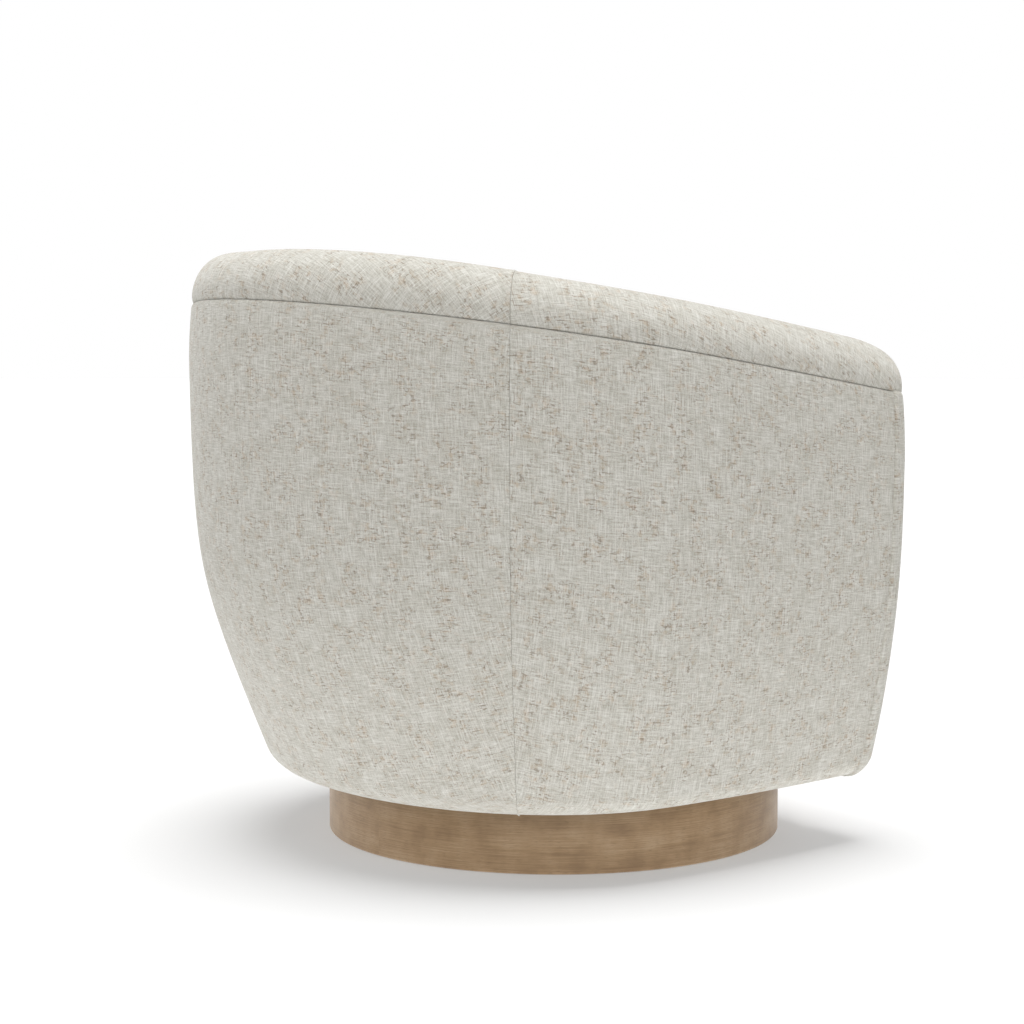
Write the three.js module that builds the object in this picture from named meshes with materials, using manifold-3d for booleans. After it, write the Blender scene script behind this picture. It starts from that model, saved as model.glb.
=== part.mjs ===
// A swivel barrel chair: a round wooden plinth, a ball-bearing swivel, and a tub-shaped seat made of
// a plywood frame, sinuous springs, padding and covers.
// Lengths are in millimetres, +Z is up, the front faces -Y, and right is +X.
import * as THREE from "three";
import { mergeVertices } from "three/addons/utils/BufferGeometryUtils.js";
import Module from "manifold-3d";

const wasm = await Module();
wasm.setup();

// Gap between pieces that touch, and the wider one beside pieces that cross the facets of the wall
const clearance = 0.3;
const fittingGap = 1;

// Outline of the body from above, with the swivel axis at x = y = 0
const backRadius = 387;
const backCentreY = 65;
const frontReach = 307;
const frontHalfWidth = 320;
const armCurvePower = 1.43;

// Where the upright seams of the covers stand, as a share of the quarter turn from back to side
const coverSeamShare = 0.662;

// Heights of the body: its underside, and where its outline starts to draw in
const bodyBottomZ = 83;
const taperTopZ = 660;

// The seam under the cap lies in a plane that falls towards the front
const seamZ = 585.6;
const seamSlope = 0.148;
const seamGrooveDepth = 3;
const seamGrooveReach = 60;

// How far the outline draws in from top to bottom: upright above, a straight slope below
const sideTaper = 45;
const backTaper = 109;
const frontTaper = 20.5;
const frontTaperPower = 6;
const taperBendShare = 0.583;
const taperBlendShare = 0.166;

// Layers of the wall, from the outside in
const wallThickness = 104;
const coverThickness = 9;
const outerBoardThickness = 3;
const frameDepth = 42;
const webbingThickness = 1.5;
const insideBulge = 6;
const insideGroovePower = 6;

// Bottom edge of the covers, and the flap that is stapled under the base board
const bottomEdgeRadius = 21;
const flapThickness = 2.7;
const flapReach = 48;

// Cap: set in a little, with an upright edge, then a rounded shoulder on each side, and a rounded
// nose at the arm front
const capEdgeInset = 2.5;
const capWallHeight = 4;
const capShoulderWidth = 48;
const capShoulderRise = 57;
const capLipInset = 1.2;
const capLipHeight = 3;
const capNoseReach = 128;
const capNosePower = 2.9;
const capNoseBluntShare = 0.26;

// Padded arm fronts and the apron between them
const frontPadDepth = 30;
const frontCornerRadius = 28;
const apronSetback = 6;
const apronTopRadius = 12;

// Plywood and hardwood frame
const baseBoardThickness = 18;
const postWidth = 28;
const topRailThickness = 24;
const seatRailThickness = 25;
const seatRailHeight = 75;
const seatRailTopZ = 275;

// Seat: springs, deck pad and cushion
const springWire = 3.8;
const springHalfWidth = 24;
const springSpacing = 118;
const springPitch = 38;
const springCrown = 12;
const springCount = 4;
const deckTopZ = 312;
const deckSideGap = 2;
const cushionSideGap = 4;
const cushionFrontSetback = 8;
const cushionEdgeHeight = 118;
const cushionEdgeRadius = 16;
const cushionCrown = 24;
const cushionCornerRadius = 34;
const cushionPullIn = 6;
const webbingWidth = 52;
const webbingCount = 2;
const deckSpringGap = 6;

// Swivel: two stamped plates with a ball race between them
const swivelHeight = 15.1;
const swivelSheet = 2.2;
const swivelPlateWidth = 220;
const swivelCornerRadius = 14;
const raceRadius = 88;
const raceWidth = 24;
const raceHeight = 6.2;
const ballRadius = 4.5;
const raceClearance = 0.6;
const ballCount = 12;
const cageThickness = 1.4;
const cageWidth = 19;
const rivetRadius = 10;
const rivetWall = 3;
const rivetFlangeRadius = 15;
const rivetFlangeThickness = 2.2;
const screwEdgeGap = 18;
const screwRadius = 2.5;
const screwLength = 14;
const screwHeadRadius = 5.5;
const screwHeadHeight = 2.8;

// Round plinth
const plinthRadius = 280;
const plinthWall = 20;
const plinthFloorGap = 4;
const plinthReveal = 7;
const plinthEdgeRadius = 4;
const plinthPanelThickness = 18;
const blockWidth = 44;
const blockDepth = 40;
const glideRadius = 14;
const glideHeight = 5;
const glideEdge = 1.5;

// Counts of facets
const backSegments = 8;
const turnSegments = 3;
const armSegments = 5;
const roundSegments = 64;
const raceSegments = 48;
const raceArcSegments = 5;
const smallSegments = 8;
const edgeSegments = 3;
const shoulderSegments = 4;
const noseSegments = 5;
const springSteps = 4;
const springSides = 5;
const deckSegments = 6;
const cushionBackSegments = 7;
const cushionSideSegments = 4;

// Shares at which surfaces are divided
const levelShares = [0, 0.12, 0.25, 0.38, 0.52, 0.75, 1];
const coverLevelShares = [0.12, 0.25, 0.38, 0.52, 0.75, 0.93, 1];
const padLevelShares = [0, 0.22, 0.45, 0.68, 0.88, 1];
const apronLevelShares = [0.3, 0.6, 1];
const deckEndShare = 0.18;
const cushionStartShare = 0.06;
const cushionFrontShares = [0.6, 0.2];
const cushionUnderShares = [0.3, 0.9];
const cushionCrownShares = [0.86, 0.7, 0.5, 0.25];

// Places that follow from the sizes above
const boardInset = coverThickness + clearance;
const frameInset = boardInset + outerBoardThickness + fittingGap;
const webbingInset = frameInset + frameDepth + fittingGap;
const seatRailInset = webbingInset;
const padInset = webbingInset + webbingThickness + fittingGap;
const baseBoardZ = bodyBottomZ + flapThickness + clearance;
const wallBottomZ = baseBoardZ + baseBoardThickness + clearance;
const swivelZ = baseBoardZ - clearance - swivelHeight;
const plinthPanelZ = swivelZ - clearance - plinthPanelThickness;
const plinthTopZ = bodyBottomZ - plinthReveal;
const insidePadZ = seatRailTopZ + springWire + 4 * clearance;
const cushionBottomZ = deckTopZ + 2 * clearance;
const seamGapRun = clearance / 2 / (backRadius - wallThickness) / (Math.PI / 2);

const finishes = {
  linen: { color: "#cdc8bc", roughness: 0.95 },
  foam: { color: "#d9cf9c", roughness: 0.9 },
  lining: { color: "#2b2a29", roughness: 0.9 },
  board: { color: "#9b8259", roughness: 0.85 },
  plywood: { color: "#c8a877", roughness: 0.7 },
  veneer: { color: "#92795c", roughness: 0.5 },
  steel: { color: "#8e9196", roughness: 0.4, metalness: 1 },
  zinc: { color: "#b4b5b1", roughness: 0.35, metalness: 1 },
  nylon: { color: "#3a3936", roughness: 0.5 },
  elastic: { color: "#e4dfd2", roughness: 0.85 },
};

// Basic tools

function divide(start, end, count) {
  return Array.from({ length: count + 1 }, (_, i) => start + ((end - start) * i) / count);
}

function faceOut(geometry) {
  const index = geometry.index.array;
  const corner = [0, 1, 2].map(() => new THREE.Vector3());
  let volume = 0;
  for (let i = 0; i < index.length; i += 3) {
    corner.forEach((point, k) => point.fromBufferAttribute(geometry.attributes.position, index[i + k]));
    volume += corner[0].dot(corner[1].cross(corner[2]));
  }
  if (volume < 0) geometry.index.array.reverse();
  geometry.computeVertexNormals();
  return geometry;
}

function closed(geometry) {
  geometry.deleteAttribute("normal");
  geometry.deleteAttribute("uv");
  return faceOut(mergeVertices(geometry));
}

// Skins a row of rings. Each ring has an even count of points, and its two halves face each other,
// so that strips between the halves close the ends. Both halves are split along the same diagonals.
function loft(rings) {
  const count = rings[0].length;
  const index = [];
  const quad = (a, b, c, d) => index.push(a, b, c, a, c, d);
  for (let i = 0; i + 1 < rings.length; i++) {
    for (let k = 0; k < count; k++) {
      const near = i * count;
      const next = (k + 1) % count;
      const corners = [near + k, near + next, near + count + next, near + count + k];
      if (k >= count / 2) corners.push(corners.shift());
      quad(...corners);
    }
  }
  const last = (rings.length - 1) * count;
  for (let k = 0; k + 1 < count / 2; k++) {
    const far = count - 1 - k;
    quad(far, far - 1, k + 1, k);
    quad(last + k, last + k + 1, last + far - 1, last + far);
  }
  const geometry = new THREE.BufferGeometry().setFromPoints(rings.flat());
  geometry.setIndex(index);
  return faceOut(geometry);
}

function turned(profile, segments) {
  const points = profile.map(([radius, height]) => new THREE.Vector2(radius, height));
  return closed(new THREE.LatheGeometry(points, segments).rotateX(Math.PI / 2));
}

function slab(shape, bottomZ, thickness, segments) {
  const options = { depth: thickness, bevelEnabled: false, curveSegments: segments };
  return closed(new THREE.ExtrudeGeometry(shape, options).translate(0, 0, bottomZ));
}

function roundHole(x, y, radius) {
  return new THREE.Path().absarc(x, y, radius, 0, 2 * Math.PI, true);
}

function solid(geometry) {
  const numbers = { numProp: 3, vertProperties: geometry.attributes.position.array };
  return new wasm.Manifold(new wasm.Mesh({ ...numbers, triVerts: new Uint32Array(geometry.index.array) }));
}

function joined(...geometries) {
  const whole = geometries.map(solid).reduce((sum, next) => sum.add(next));
  const mesh = whole.getMesh();
  const geometry = new THREE.BufferGeometry();
  geometry.setAttribute("position", new THREE.BufferAttribute(mesh.vertProperties, 3));
  geometry.setIndex(new THREE.BufferAttribute(mesh.triVerts, 1));
  return faceOut(geometry);
}

function piece(name, geometry, finish) {
  const mesh = new THREE.Mesh(geometry, new THREE.MeshStandardMaterial(finishes[finish]));
  mesh.name = name;
  return mesh;
}

// Outline of the body

function depthShare(z) {
  return THREE.MathUtils.clamp((taperTopZ - z) / (taperTopZ - bodyBottomZ), 0, 1);
}

function taperShare(z) {
  const bend = (share) => Math.hypot(share - taperBendShare, taperBlendShare) + share - taperBendShare;
  return (bend(depthShare(z)) - bend(0)) / (bend(1) - bend(0));
}

function frontAt(z) {
  return frontReach - frontTaper * depthShare(z) ** frontTaperPower;
}

function armEndY(z) {
  return frontPadDepth + fittingGap - frontAt(z);
}

function armX(y, z, inset) {
  const forwardShare = Math.max(backCentreY - y, 0) / (backCentreY + frontReach);
  const narrowing = (backRadius - frontHalfWidth) * forwardShare ** armCurvePower;
  return backRadius - sideTaper * taperShare(z) - inset - narrowing;
}

// Reach of the back behind the bend's centre
function backReach(z, inset) {
  return backRadius - backTaper * taperShare(z) - inset;
}

// A run along the wall goes from 0 at the middle of the back to 1 at the side and 2 at the end of
// the arm, and is negative on the left.
function wallPoint(run, z, inset) {
  const along = Math.abs(run);
  if (along > 1) {
    const y = backCentreY - (along - 1) * (backCentreY - armEndY(z));
    return new THREE.Vector3(Math.sign(run) * armX(y, z, inset), y, z);
  }
  const angle = (run * Math.PI) / 2;
  const x = Math.sin(angle) * armX(backCentreY, z, inset);
  return new THREE.Vector3(x, backCentreY + Math.cos(angle) * backReach(z, inset), z);
}

const rightRuns = [
  ...divide(0, coverSeamShare, backSegments).slice(0, -1),
  ...divide(coverSeamShare, 1, turnSegments).slice(0, -1),
  ...divide(1, 2, armSegments),
];
const runStations = [...rightRuns.slice(1).map((run) => -run).reverse(), ...rightRuns];
const edgeAngles = divide(0, Math.PI / 2, edgeSegments);

// The seam plane, less half the gap that keeps the cap off the wall
function seamPlane(y) {
  return seamZ + seamSlope * y - clearance / 2;
}

function wallTop(run, inset) {
  return seamPlane(wallPoint(run, taperTopZ, inset).y);
}

// A corner of the facets that all layers of the wall share
function facetCorner(run, heightShare, inset) {
  const z = mix(wallBottomZ, wallTop(run, inset), heightShare);
  return wallPoint(run, z, inset);
}

function mix(a, b, share) {
  return a + (b - a) * share;
}

// The cell of a list of stations that holds a value, and how far along the cell it lies
function cellOf(stations, value) {
  const next = stations.findIndex((station) => station >= value);
  const high = THREE.MathUtils.clamp(next, 1, stations.length - 1);
  const [start, end] = [stations[high - 1], stations[high]];
  return { start, end, share: (value - start) / (end - start) };
}

// A point of a layer inside the wall, on the flat facets
function layerPoint(run, heightShare, inset) {
  const across = cellOf(runStations, run);
  const up = cellOf(levelShares, heightShare);
  const low = facetCorner(across.start, up.start, inset);
  const high = facetCorner(across.end, up.end, inset);
  const isUpperHalf = up.share > across.share;
  const third = isUpperHalf
    ? facetCorner(across.start, up.end, inset)
    : facetCorner(across.end, up.start, inset);
  const [first, second] = isUpperHalf ? [up.share, across.share] : [across.share, up.share];
  const toThird = third.clone().sub(low).multiplyScalar(first);
  const toHigh = high.clone().sub(third).multiplyScalar(second);
  return low.clone().add(toThird).add(toHigh);
}

// Height of the facets' top edge, which is straight between stations
function facetTop(run, inset) {
  const across = cellOf(runStations, run);
  return mix(wallTop(across.start, inset), wallTop(across.end, inset), across.share);
}

// Share of the wall's height at which a facet reaches a height, found in a few steps
const heightSteps = 4;

function heightShareAt(run, z, inset) {
  const height = facetTop(run, inset) - wallBottomZ;
  let share = (z - wallBottomZ) / height;
  for (let step = 0; step < heightSteps; step++) {
    share += (z - layerPoint(run, share, inset).z) / height;
  }
  return share;
}

// Stations from one run to another, through the shared ones between them
function runsBetween(start, end) {
  const inner = runStations.filter((run) => run > start + seamGapRun && run < end - seamGapRun);
  return [start, ...inner, end];
}

// A layer of the wall between two runs. levelsAt(run, inset) gives the shares of its height, and the
// inner inset may change along them.
function wallLayer(start, end, outerInset, innerInset, levelsAt) {
  return loft(
    runsBetween(start, end).map((run) => {
      const outer = levelsAt(run, outerInset).map((share) => layerPoint(run, share, outerInset));
      const innerShares = levelsAt(run, innerInset(1));
      const inner = innerShares.map((share, k) => {
        const inset = innerInset(k / (innerShares.length - 1));
        return layerPoint(run, share, inset);
      });
      return [...outer, ...inner.reverse()];
    }),
  );
}

// The back part of a wall lies between the two upright seams, and the arm parts run forward from them
const backRuns = [seamGapRun - coverSeamShare, coverSeamShare - seamGapRun];
const armRuns = { left: [-2, -coverSeamShare - seamGapRun], right: [coverSeamShare + seamGapRun, 2] };
const wallRuns = { back: backRuns, ...armRuns };

// Base

function plinthRing() {
  const inner = plinthRadius - plinthWall;
  const corner = plinthRadius - plinthEdgeRadius;
  const edge = edgeAngles.map((angle) => [
    corner + plinthEdgeRadius * Math.sin(angle),
    plinthFloorGap + plinthEdgeRadius * (1 - Math.cos(angle)),
  ]);
  const chamfer = plinthEdgeRadius / 2;
  const top = [
    [plinthRadius, plinthTopZ - chamfer],
    [plinthRadius - chamfer, plinthTopZ],
    [inner, plinthTopZ],
  ];
  return turned([[inner, plinthFloorGap], ...edge, ...top, [inner, plinthFloorGap]], roundSegments);
}

const screwReach = swivelPlateWidth / 2 - screwEdgeGap;
const screwPlaces = [-screwReach, screwReach].flatMap((x) => [-screwReach, screwReach].map((y) => [x, y]));

// Holes for the rivet's flange and for the screws, as both boards next to the swivel have them
function swivelHoles(centreRadius) {
  const screws = screwPlaces.map(([x, y]) => roundHole(x, y, screwRadius + clearance));
  return [roundHole(0, 0, centreRadius), ...screws];
}

function plinthPanel() {
  const radius = plinthRadius - plinthWall - clearance;
  const disc = new THREE.Shape(
    divide(0, 2 * Math.PI, roundSegments)
      .slice(0, -1)
      .map((angle) => new THREE.Vector2(radius * Math.cos(angle), radius * Math.sin(angle))),
  );
  disc.holes = swivelHoles(rivetFlangeRadius + clearance);
  return slab(disc, plinthPanelZ, plinthPanelThickness, smallSegments);
}

function plinthBlock() {
  const bottomZ = glideHeight + clearance;
  const height = plinthPanelZ - clearance - bottomZ;
  const outer = Math.hypot(plinthRadius - plinthWall, blockWidth / 2) - clearance;
  const reach = Math.sqrt(outer ** 2 - blockWidth ** 2 / 2);
  const box = new THREE.BoxGeometry(blockDepth, blockWidth, height);
  return closed(box.translate(reach - blockDepth / 2, 0, bottomZ + height / 2));
}

function glide() {
  const centre = plinthRadius - plinthWall - blockDepth / 2;
  const profile = [
    [0, 0],
    [glideRadius - glideEdge, 0],
    [glideRadius, glideEdge],
    [glideRadius, glideHeight],
    [0, glideHeight],
  ];
  return turned(profile, smallSegments * 2).translate(centre, 0, 0);
}

function makeBase() {
  const base = new THREE.Group();
  base.add(piece("plinth_ring", plinthRing(), "veneer"));
  base.add(piece("plinth_panel", plinthPanel(), "plywood"));
  divide(0, 2 * Math.PI, 4)
    .slice(0, -1)
    .forEach((angle, k) => {
      const corner = new THREE.Group();
      corner.rotation.z = angle;
      corner.add(piece(`plinth_block_${k + 1}`, plinthBlock(), "plywood"));
      corner.add(piece(`glide_${k + 1}`, glide(), "nylon"));
      base.add(corner);
    });
  base.add(piece("swivel_lower_plate", swivelPlate().translate(0, 0, swivelZ), "steel"));
  const screwZ = swivelZ + swivelSheet + clearance;
  screwPlaces.forEach(([x, y], k) => {
    base.add(piece(`plinth_screw_${k + 1}`, screw().translate(x, y, screwZ), "zinc"));
  });
  return base;
}

// Swivel

function swivelPlate() {
  const half = swivelPlateWidth / 2;
  const straight = half - swivelCornerRadius;
  const sheet = new THREE.Shape();
  [0, 1, 2, 3].forEach((quarter) => {
    const start = (quarter * Math.PI) / 2;
    const x = quarter === 0 || quarter === 3 ? straight : -straight;
    const y = quarter < 2 ? straight : -straight;
    sheet.absarc(x, y, swivelCornerRadius, start, start + Math.PI / 2, false);
  });
  sheet.holes = swivelHoles(rivetRadius + clearance);
  const groove = ballRadius + raceClearance;
  const ballZ = swivelHeight / 2;
  const start = Math.asin((ballZ - raceHeight) / groove);
  const arc = divide(Math.PI + start, 2 * Math.PI - start, raceArcSegments).map((angle) => [
    raceRadius + groove * Math.cos(angle),
    ballZ + groove * Math.sin(angle),
  ]);
  const inner = raceRadius - raceWidth / 2;
  const outer = raceRadius + raceWidth / 2;
  const foot = swivelSheet / 2;
  const ends = [
    [outer, raceHeight],
    [outer, foot],
    [inner, foot],
  ];
  const race = [[inner, foot], [inner, raceHeight], ...arc, ...ends];
  return joined(slab(sheet, 0, swivelSheet, smallSegments), turned(race, raceSegments));
}

function ballRing() {
  const inner = raceRadius - cageWidth / 2;
  const outer = raceRadius + cageWidth / 2;
  const half = cageThickness / 2;
  const section = [
    [inner, -half],
    [outer, -half],
    [outer, half],
    [inner, half],
    [inner, -half],
  ];
  const balls = divide(0, 2 * Math.PI, ballCount)
    .slice(0, -1)
    .map((angle) =>
      closed(new THREE.SphereGeometry(ballRadius, smallSegments, smallSegments - 2))
        .rotateX(Math.PI / 2)
        .translate(raceRadius * Math.cos(angle), raceRadius * Math.sin(angle), 0),
    );
  return joined(turned(section, raceSegments), ...balls).translate(0, 0, swivelZ + swivelHeight / 2);
}

function swivelRivet() {
  const bore = rivetRadius - rivetWall;
  const low = -clearance - rivetFlangeThickness;
  const high = swivelHeight + clearance;
  const profile = [
    [bore, low],
    [rivetFlangeRadius, low],
    [rivetFlangeRadius, -clearance],
    [rivetRadius, -clearance],
    [rivetRadius, high],
    [rivetFlangeRadius, high],
    [rivetFlangeRadius, high + rivetFlangeThickness],
    [bore, high + rivetFlangeThickness],
    [bore, low],
  ];
  return turned(profile, smallSegments * 2).translate(0, 0, swivelZ);
}

function screw() {
  const profile = [
    [0, -screwLength],
    [screwRadius, screwRadius - screwLength],
    [screwRadius, 0],
    [screwHeadRadius, 0],
    [screwHeadRadius, screwHeadHeight / 2],
    [screwHeadRadius / 2, screwHeadHeight],
    [0, screwHeadHeight],
  ];
  return turned(profile, smallSegments);
}

// Adds the left half to a row of points of the right half
function mirrored(points) {
  return [...points, ...points.map(({ x, y, z }) => new THREE.Vector3(-x, y, z)).reverse()];
}

// Frame of the seat

function wallOutline(z, inset) {
  const points = runsBetween(-2, 2).map((run) => wallPoint(run, z, inset));
  return new THREE.Shape(points.reverse().map(({ x, y }) => new THREE.Vector2(x, y)));
}

function baseBoard() {
  const inset = coverThickness + bottomEdgeRadius - flapThickness + clearance;
  const board = wallOutline(baseBoardZ, inset);
  board.holes = swivelHoles(rivetFlangeRadius + clearance);
  return slab(board, baseBoardZ, baseBoardThickness, smallSegments);
}

function dustCover() {
  const sheet = wallOutline(bodyBottomZ, flapReach + clearance);
  sheet.holes = [roundHole(0, 0, swivelPlateWidth * Math.SQRT1_2 + screwHeadRadius)];
  const thickness = flapThickness / 2;
  return slab(sheet, baseBoardZ - clearance - thickness, thickness, smallSegments * 4);
}

// A run's length beside the frame is near the back's radius on the bend, and the arm's length in front
function runOf(length, run) {
  const scale = Math.abs(run) < 1 ? (backRadius * Math.PI) / 2 : backCentreY - armEndY(wallBottomZ);
  return length / scale;
}

function post(middle) {
  const half = runOf(postWidth, middle) / 2;
  const railBottom = (run, inset) => facetTop(run, inset) - topRailThickness - clearance;
  const levels = (run, inset) => {
    const topShare = heightShareAt(run, railBottom(run, inset), inset);
    return [...levelShares.slice(0, -1), topShare];
  };
  return wallLayer(middle - half, middle + half, frameInset, () => frameInset + frameDepth, levels);
}

function topRail() {
  const railBottom = (run, inset) => facetTop(run, inset) - topRailThickness;
  const levels = (run, inset) => [heightShareAt(run, railBottom(run, inset), inset), 1];
  return wallLayer(-2, 2, frameInset, () => frameInset + frameDepth, levels);
}

// Levels of a layer between two fixed heights
function levelBand(lowZ, highZ) {
  return (run, inset) => [lowZ, highZ].map((z) => heightShareAt(run, z, inset));
}

function curvedSeatRail(start, end) {
  const levels = levelBand(seatRailTopZ - seatRailHeight, seatRailTopZ);
  return wallLayer(start, end, seatRailInset, () => seatRailInset + seatRailThickness, levels);
}

function frontSeatRail() {
  return loft(
    [seatRailTopZ - seatRailHeight, seatRailTopZ].map((z) => {
      const front = armEndY(z);
      const inset = seatRailInset + clearance;
      const depths = [front + seatRailThickness, front];
      return mirrored(depths.map((y) => new THREE.Vector3(armX(y, z, inset), y, z)));
    }),
  );
}

// A sinuous spring runs from the front rail to the back rail and arches a little between them
function seatSpring(middleX) {
  const startY = armEndY(seatRailTopZ) + seatRailThickness / 2;
  const inset = seatRailInset + seatRailThickness / 2;
  const widthShare = (Math.abs(middleX) + springHalfWidth) / armX(backCentreY, seatRailTopZ, inset);
  const endY = backCentreY + backReach(seatRailTopZ, inset) * Math.sqrt(1 - widthShare ** 2);
  const bends = Math.round((endY - startY) / springPitch);
  const restZ = seatRailTopZ + clearance + springWire / 2;
  const points = divide(0, 1, bends * springSteps).map((share) => {
    const x = middleX + springHalfWidth * Math.sin(share * bends * Math.PI);
    const z = restZ + springCrown * Math.sin(Math.PI * share) ** 2;
    return new THREE.Vector3(x, mix(startY, endY, share), z);
  });
  const path = new THREE.CatmullRomCurve3(points);
  const corners = divide(0, 2 * Math.PI, springSides).slice(0, -1);
  const ring = corners.map((angle) =>
    new THREE.Vector2(Math.cos(angle), Math.sin(angle)).multiplyScalar(springWire / 2),
  );
  const options = { extrudePath: path, steps: points.length - 1, bevelEnabled: false };
  return closed(new THREE.ExtrudeGeometry(new THREE.Shape(ring), options));
}

function backWebbing(middleZ) {
  const levels = levelBand(middleZ - webbingWidth / 2, middleZ + webbingWidth / 2);
  return wallLayer(...backRuns, webbingInset, () => webbingInset + webbingThickness, levels);
}

function addFrame(seat) {
  seat.add(piece("base_board", baseBoard(), "plywood"));
  seat.add(piece("dust_cover", dustCover(), "lining"));
  seat.add(piece("post_back", post(0), "plywood"));
  const frontRun = 2 - runOf(postWidth, 2) / 2;
  const postRuns = { rear: coverSeamShare, arm: (1 + frontRun) / 2, front: frontRun };
  for (const [place, run] of Object.entries(postRuns)) {
    seat.add(piece(`post_${place}_left`, post(-run), "plywood"));
    seat.add(piece(`post_${place}_right`, post(run), "plywood"));
  }
  seat.add(piece("top_rail", topRail(), "plywood"));
  seat.add(piece("seat_rail_front", frontSeatRail(), "plywood"));
  seat.add(piece("seat_rail_back", curvedSeatRail(...backRuns), "plywood"));
  const armLength = backCentreY - armEndY(seatRailTopZ - seatRailHeight);
  const railEnd = 2 - (seatRailThickness + clearance) / armLength;
  seat.add(piece("seat_rail_left", curvedSeatRail(-railEnd, armRuns.left[1]), "plywood"));
  seat.add(piece("seat_rail_right", curvedSeatRail(armRuns.right[0], railEnd), "plywood"));
  for (let k = 0; k < springCount; k++) {
    const middleX = (k - (springCount - 1) / 2) * springSpacing;
    seat.add(piece(`seat_spring_${k + 1}`, seatSpring(middleX), "steel"));
  }
  const backHeight = wallTop(0, webbingInset) - topRailThickness - insidePadZ;
  for (let k = 1; k <= webbingCount; k++) {
    const middleZ = insidePadZ + (backHeight * k) / (webbingCount + 1);
    seat.add(piece(`back_webbing_${k}`, backWebbing(middleZ), "elastic"));
  }
}

// Padding and covers

// The outside cover rounds under the bottom edge, and its thin flap lies under the base board
function outsideCover(start, end) {
  const innerRadius = bottomEdgeRadius - flapThickness;
  const chain = (run, radius, inset, flapZ, grooveDepth) => {
    const edgeZ = bodyBottomZ + bottomEdgeRadius;
    const top = facetTop(run, inset + grooveDepth);
    const edge = edgeAngles.map((a) =>
      wallPoint(run, edgeZ - radius * Math.cos(a), inset + radius * (1 - Math.sin(a))),
    );
    const face = coverLevelShares.map((share) => {
      const z = mix(wallBottomZ, top, share);
      const grooveShare = Math.max(1 - (top - z) / seamGrooveReach, 0);
      return wallPoint(run, z, inset + grooveDepth * grooveShare ** 2);
    });
    return [wallPoint(run, flapZ, flapReach), ...edge, ...face];
  };
  return loft(
    runsBetween(start, end).map((run) => {
      const outer = chain(run, bottomEdgeRadius, 0, bodyBottomZ, seamGrooveDepth);
      const inner = chain(run, innerRadius, coverThickness, bodyBottomZ + flapThickness, 0);
      return [...outer, ...inner.reverse()];
    }),
  );
}

function outerBoard(start, end) {
  const innerInset = () => boardInset + outerBoardThickness;
  return wallLayer(start, end, boardInset, innerInset, () => levelShares);
}

function insidePad(start, end) {
  const levels = (run, inset) => {
    const bottomShare = heightShareAt(run, insidePadZ, inset);
    return padLevelShares.map((share) => mix(bottomShare, 1, share));
  };
  const innerInset = (share) => {
    const bulge = insideBulge * Math.sin(Math.PI * share);
    return wallThickness + bulge - seamGrooveDepth * share ** insideGroovePower;
  };
  return wallLayer(start, end, padInset, innerInset, levels);
}

// Height of the cap above the seam plane, at its middle, falls to the arm front in a curve, gently, then steeply
function capRise(y) {
  const share = Math.min((y + frontReach) / capNoseReach, 1);
  return capShoulderRise * (1 - (1 - share) ** capNosePower) ** capNoseBluntShare;
}

// Plan rounding of the arm front's corners, as a distance in from the side
function cornerInset(fromFront) {
  const left = Math.max(frontCornerRadius - fromFront, 0);
  return frontCornerRadius - Math.sqrt(frontCornerRadius ** 2 - left ** 2);
}

// Ring of the cap's section: place(inset) gives the point on the seam plane
function capRing(place, corner) {
  const rise = capRise(place(0).y);
  const shoulder = divide(0, Math.PI / 2, shoulderSegments).map((angle) => [
    capShoulderWidth * (1 - Math.cos(angle)),
    capWallHeight + rise * Math.sin(angle),
  ]);
  const half = [[capLipInset, 0], [0, capLipHeight], ...shoulder];
  const narrow = 1 - (2 * corner) / wallThickness;
  const point = (inset, height) => {
    const at = place(corner + inset * narrow);
    return at.setZ(seamPlane(at.y) + clearance + height);
  };
  const outer = half.map(([inset, height]) => point(capEdgeInset + inset, height));
  const inner = half.map(([inset, height]) => point(wallThickness - capEdgeInset - inset, height));
  return [...outer, ...inner.reverse()];
}

// The last rings of the cap, in front of the wall's end
function capNose(side) {
  const noseAngles = divide(0, Math.PI / 2, noseSegments).slice(1);
  const length = frontPadDepth + fittingGap;
  return noseAngles.map((angle) => {
    const fromFront = length * (1 - Math.sin(angle)) + clearance;
    const y = fromFront - frontReach;
    const place = (inset) => new THREE.Vector3(side * armX(y, taperTopZ, inset), y, 0);
    return capRing(place, cornerInset(fromFront));
  });
}

function makeCap(place) {
  const rings = runsBetween(...wallRuns[place]).map((run) =>
    capRing((inset) => layerPoint(run, 1, inset), 0),
  );
  if (place === "left") rings.unshift(...capNose(-1).reverse());
  if (place === "right") rings.push(...capNose(1));
  return loft(rings);
}

// Levels of a front pad: a rounded bottom edge, then up to its top
function frontLevels(topAt, shares) {
  const edge = edgeAngles.map((a) => ({
    edgeInset: bottomEdgeRadius * (1 - Math.sin(a)),
    height: () => bodyBottomZ + bottomEdgeRadius * (1 - Math.cos(a)),
  }));
  const upper = shares.map((share) => ({
    edgeInset: 0,
    height: (y) => mix(wallBottomZ, topAt(y), share),
  }));
  return [...edge, ...upper];
}

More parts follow.
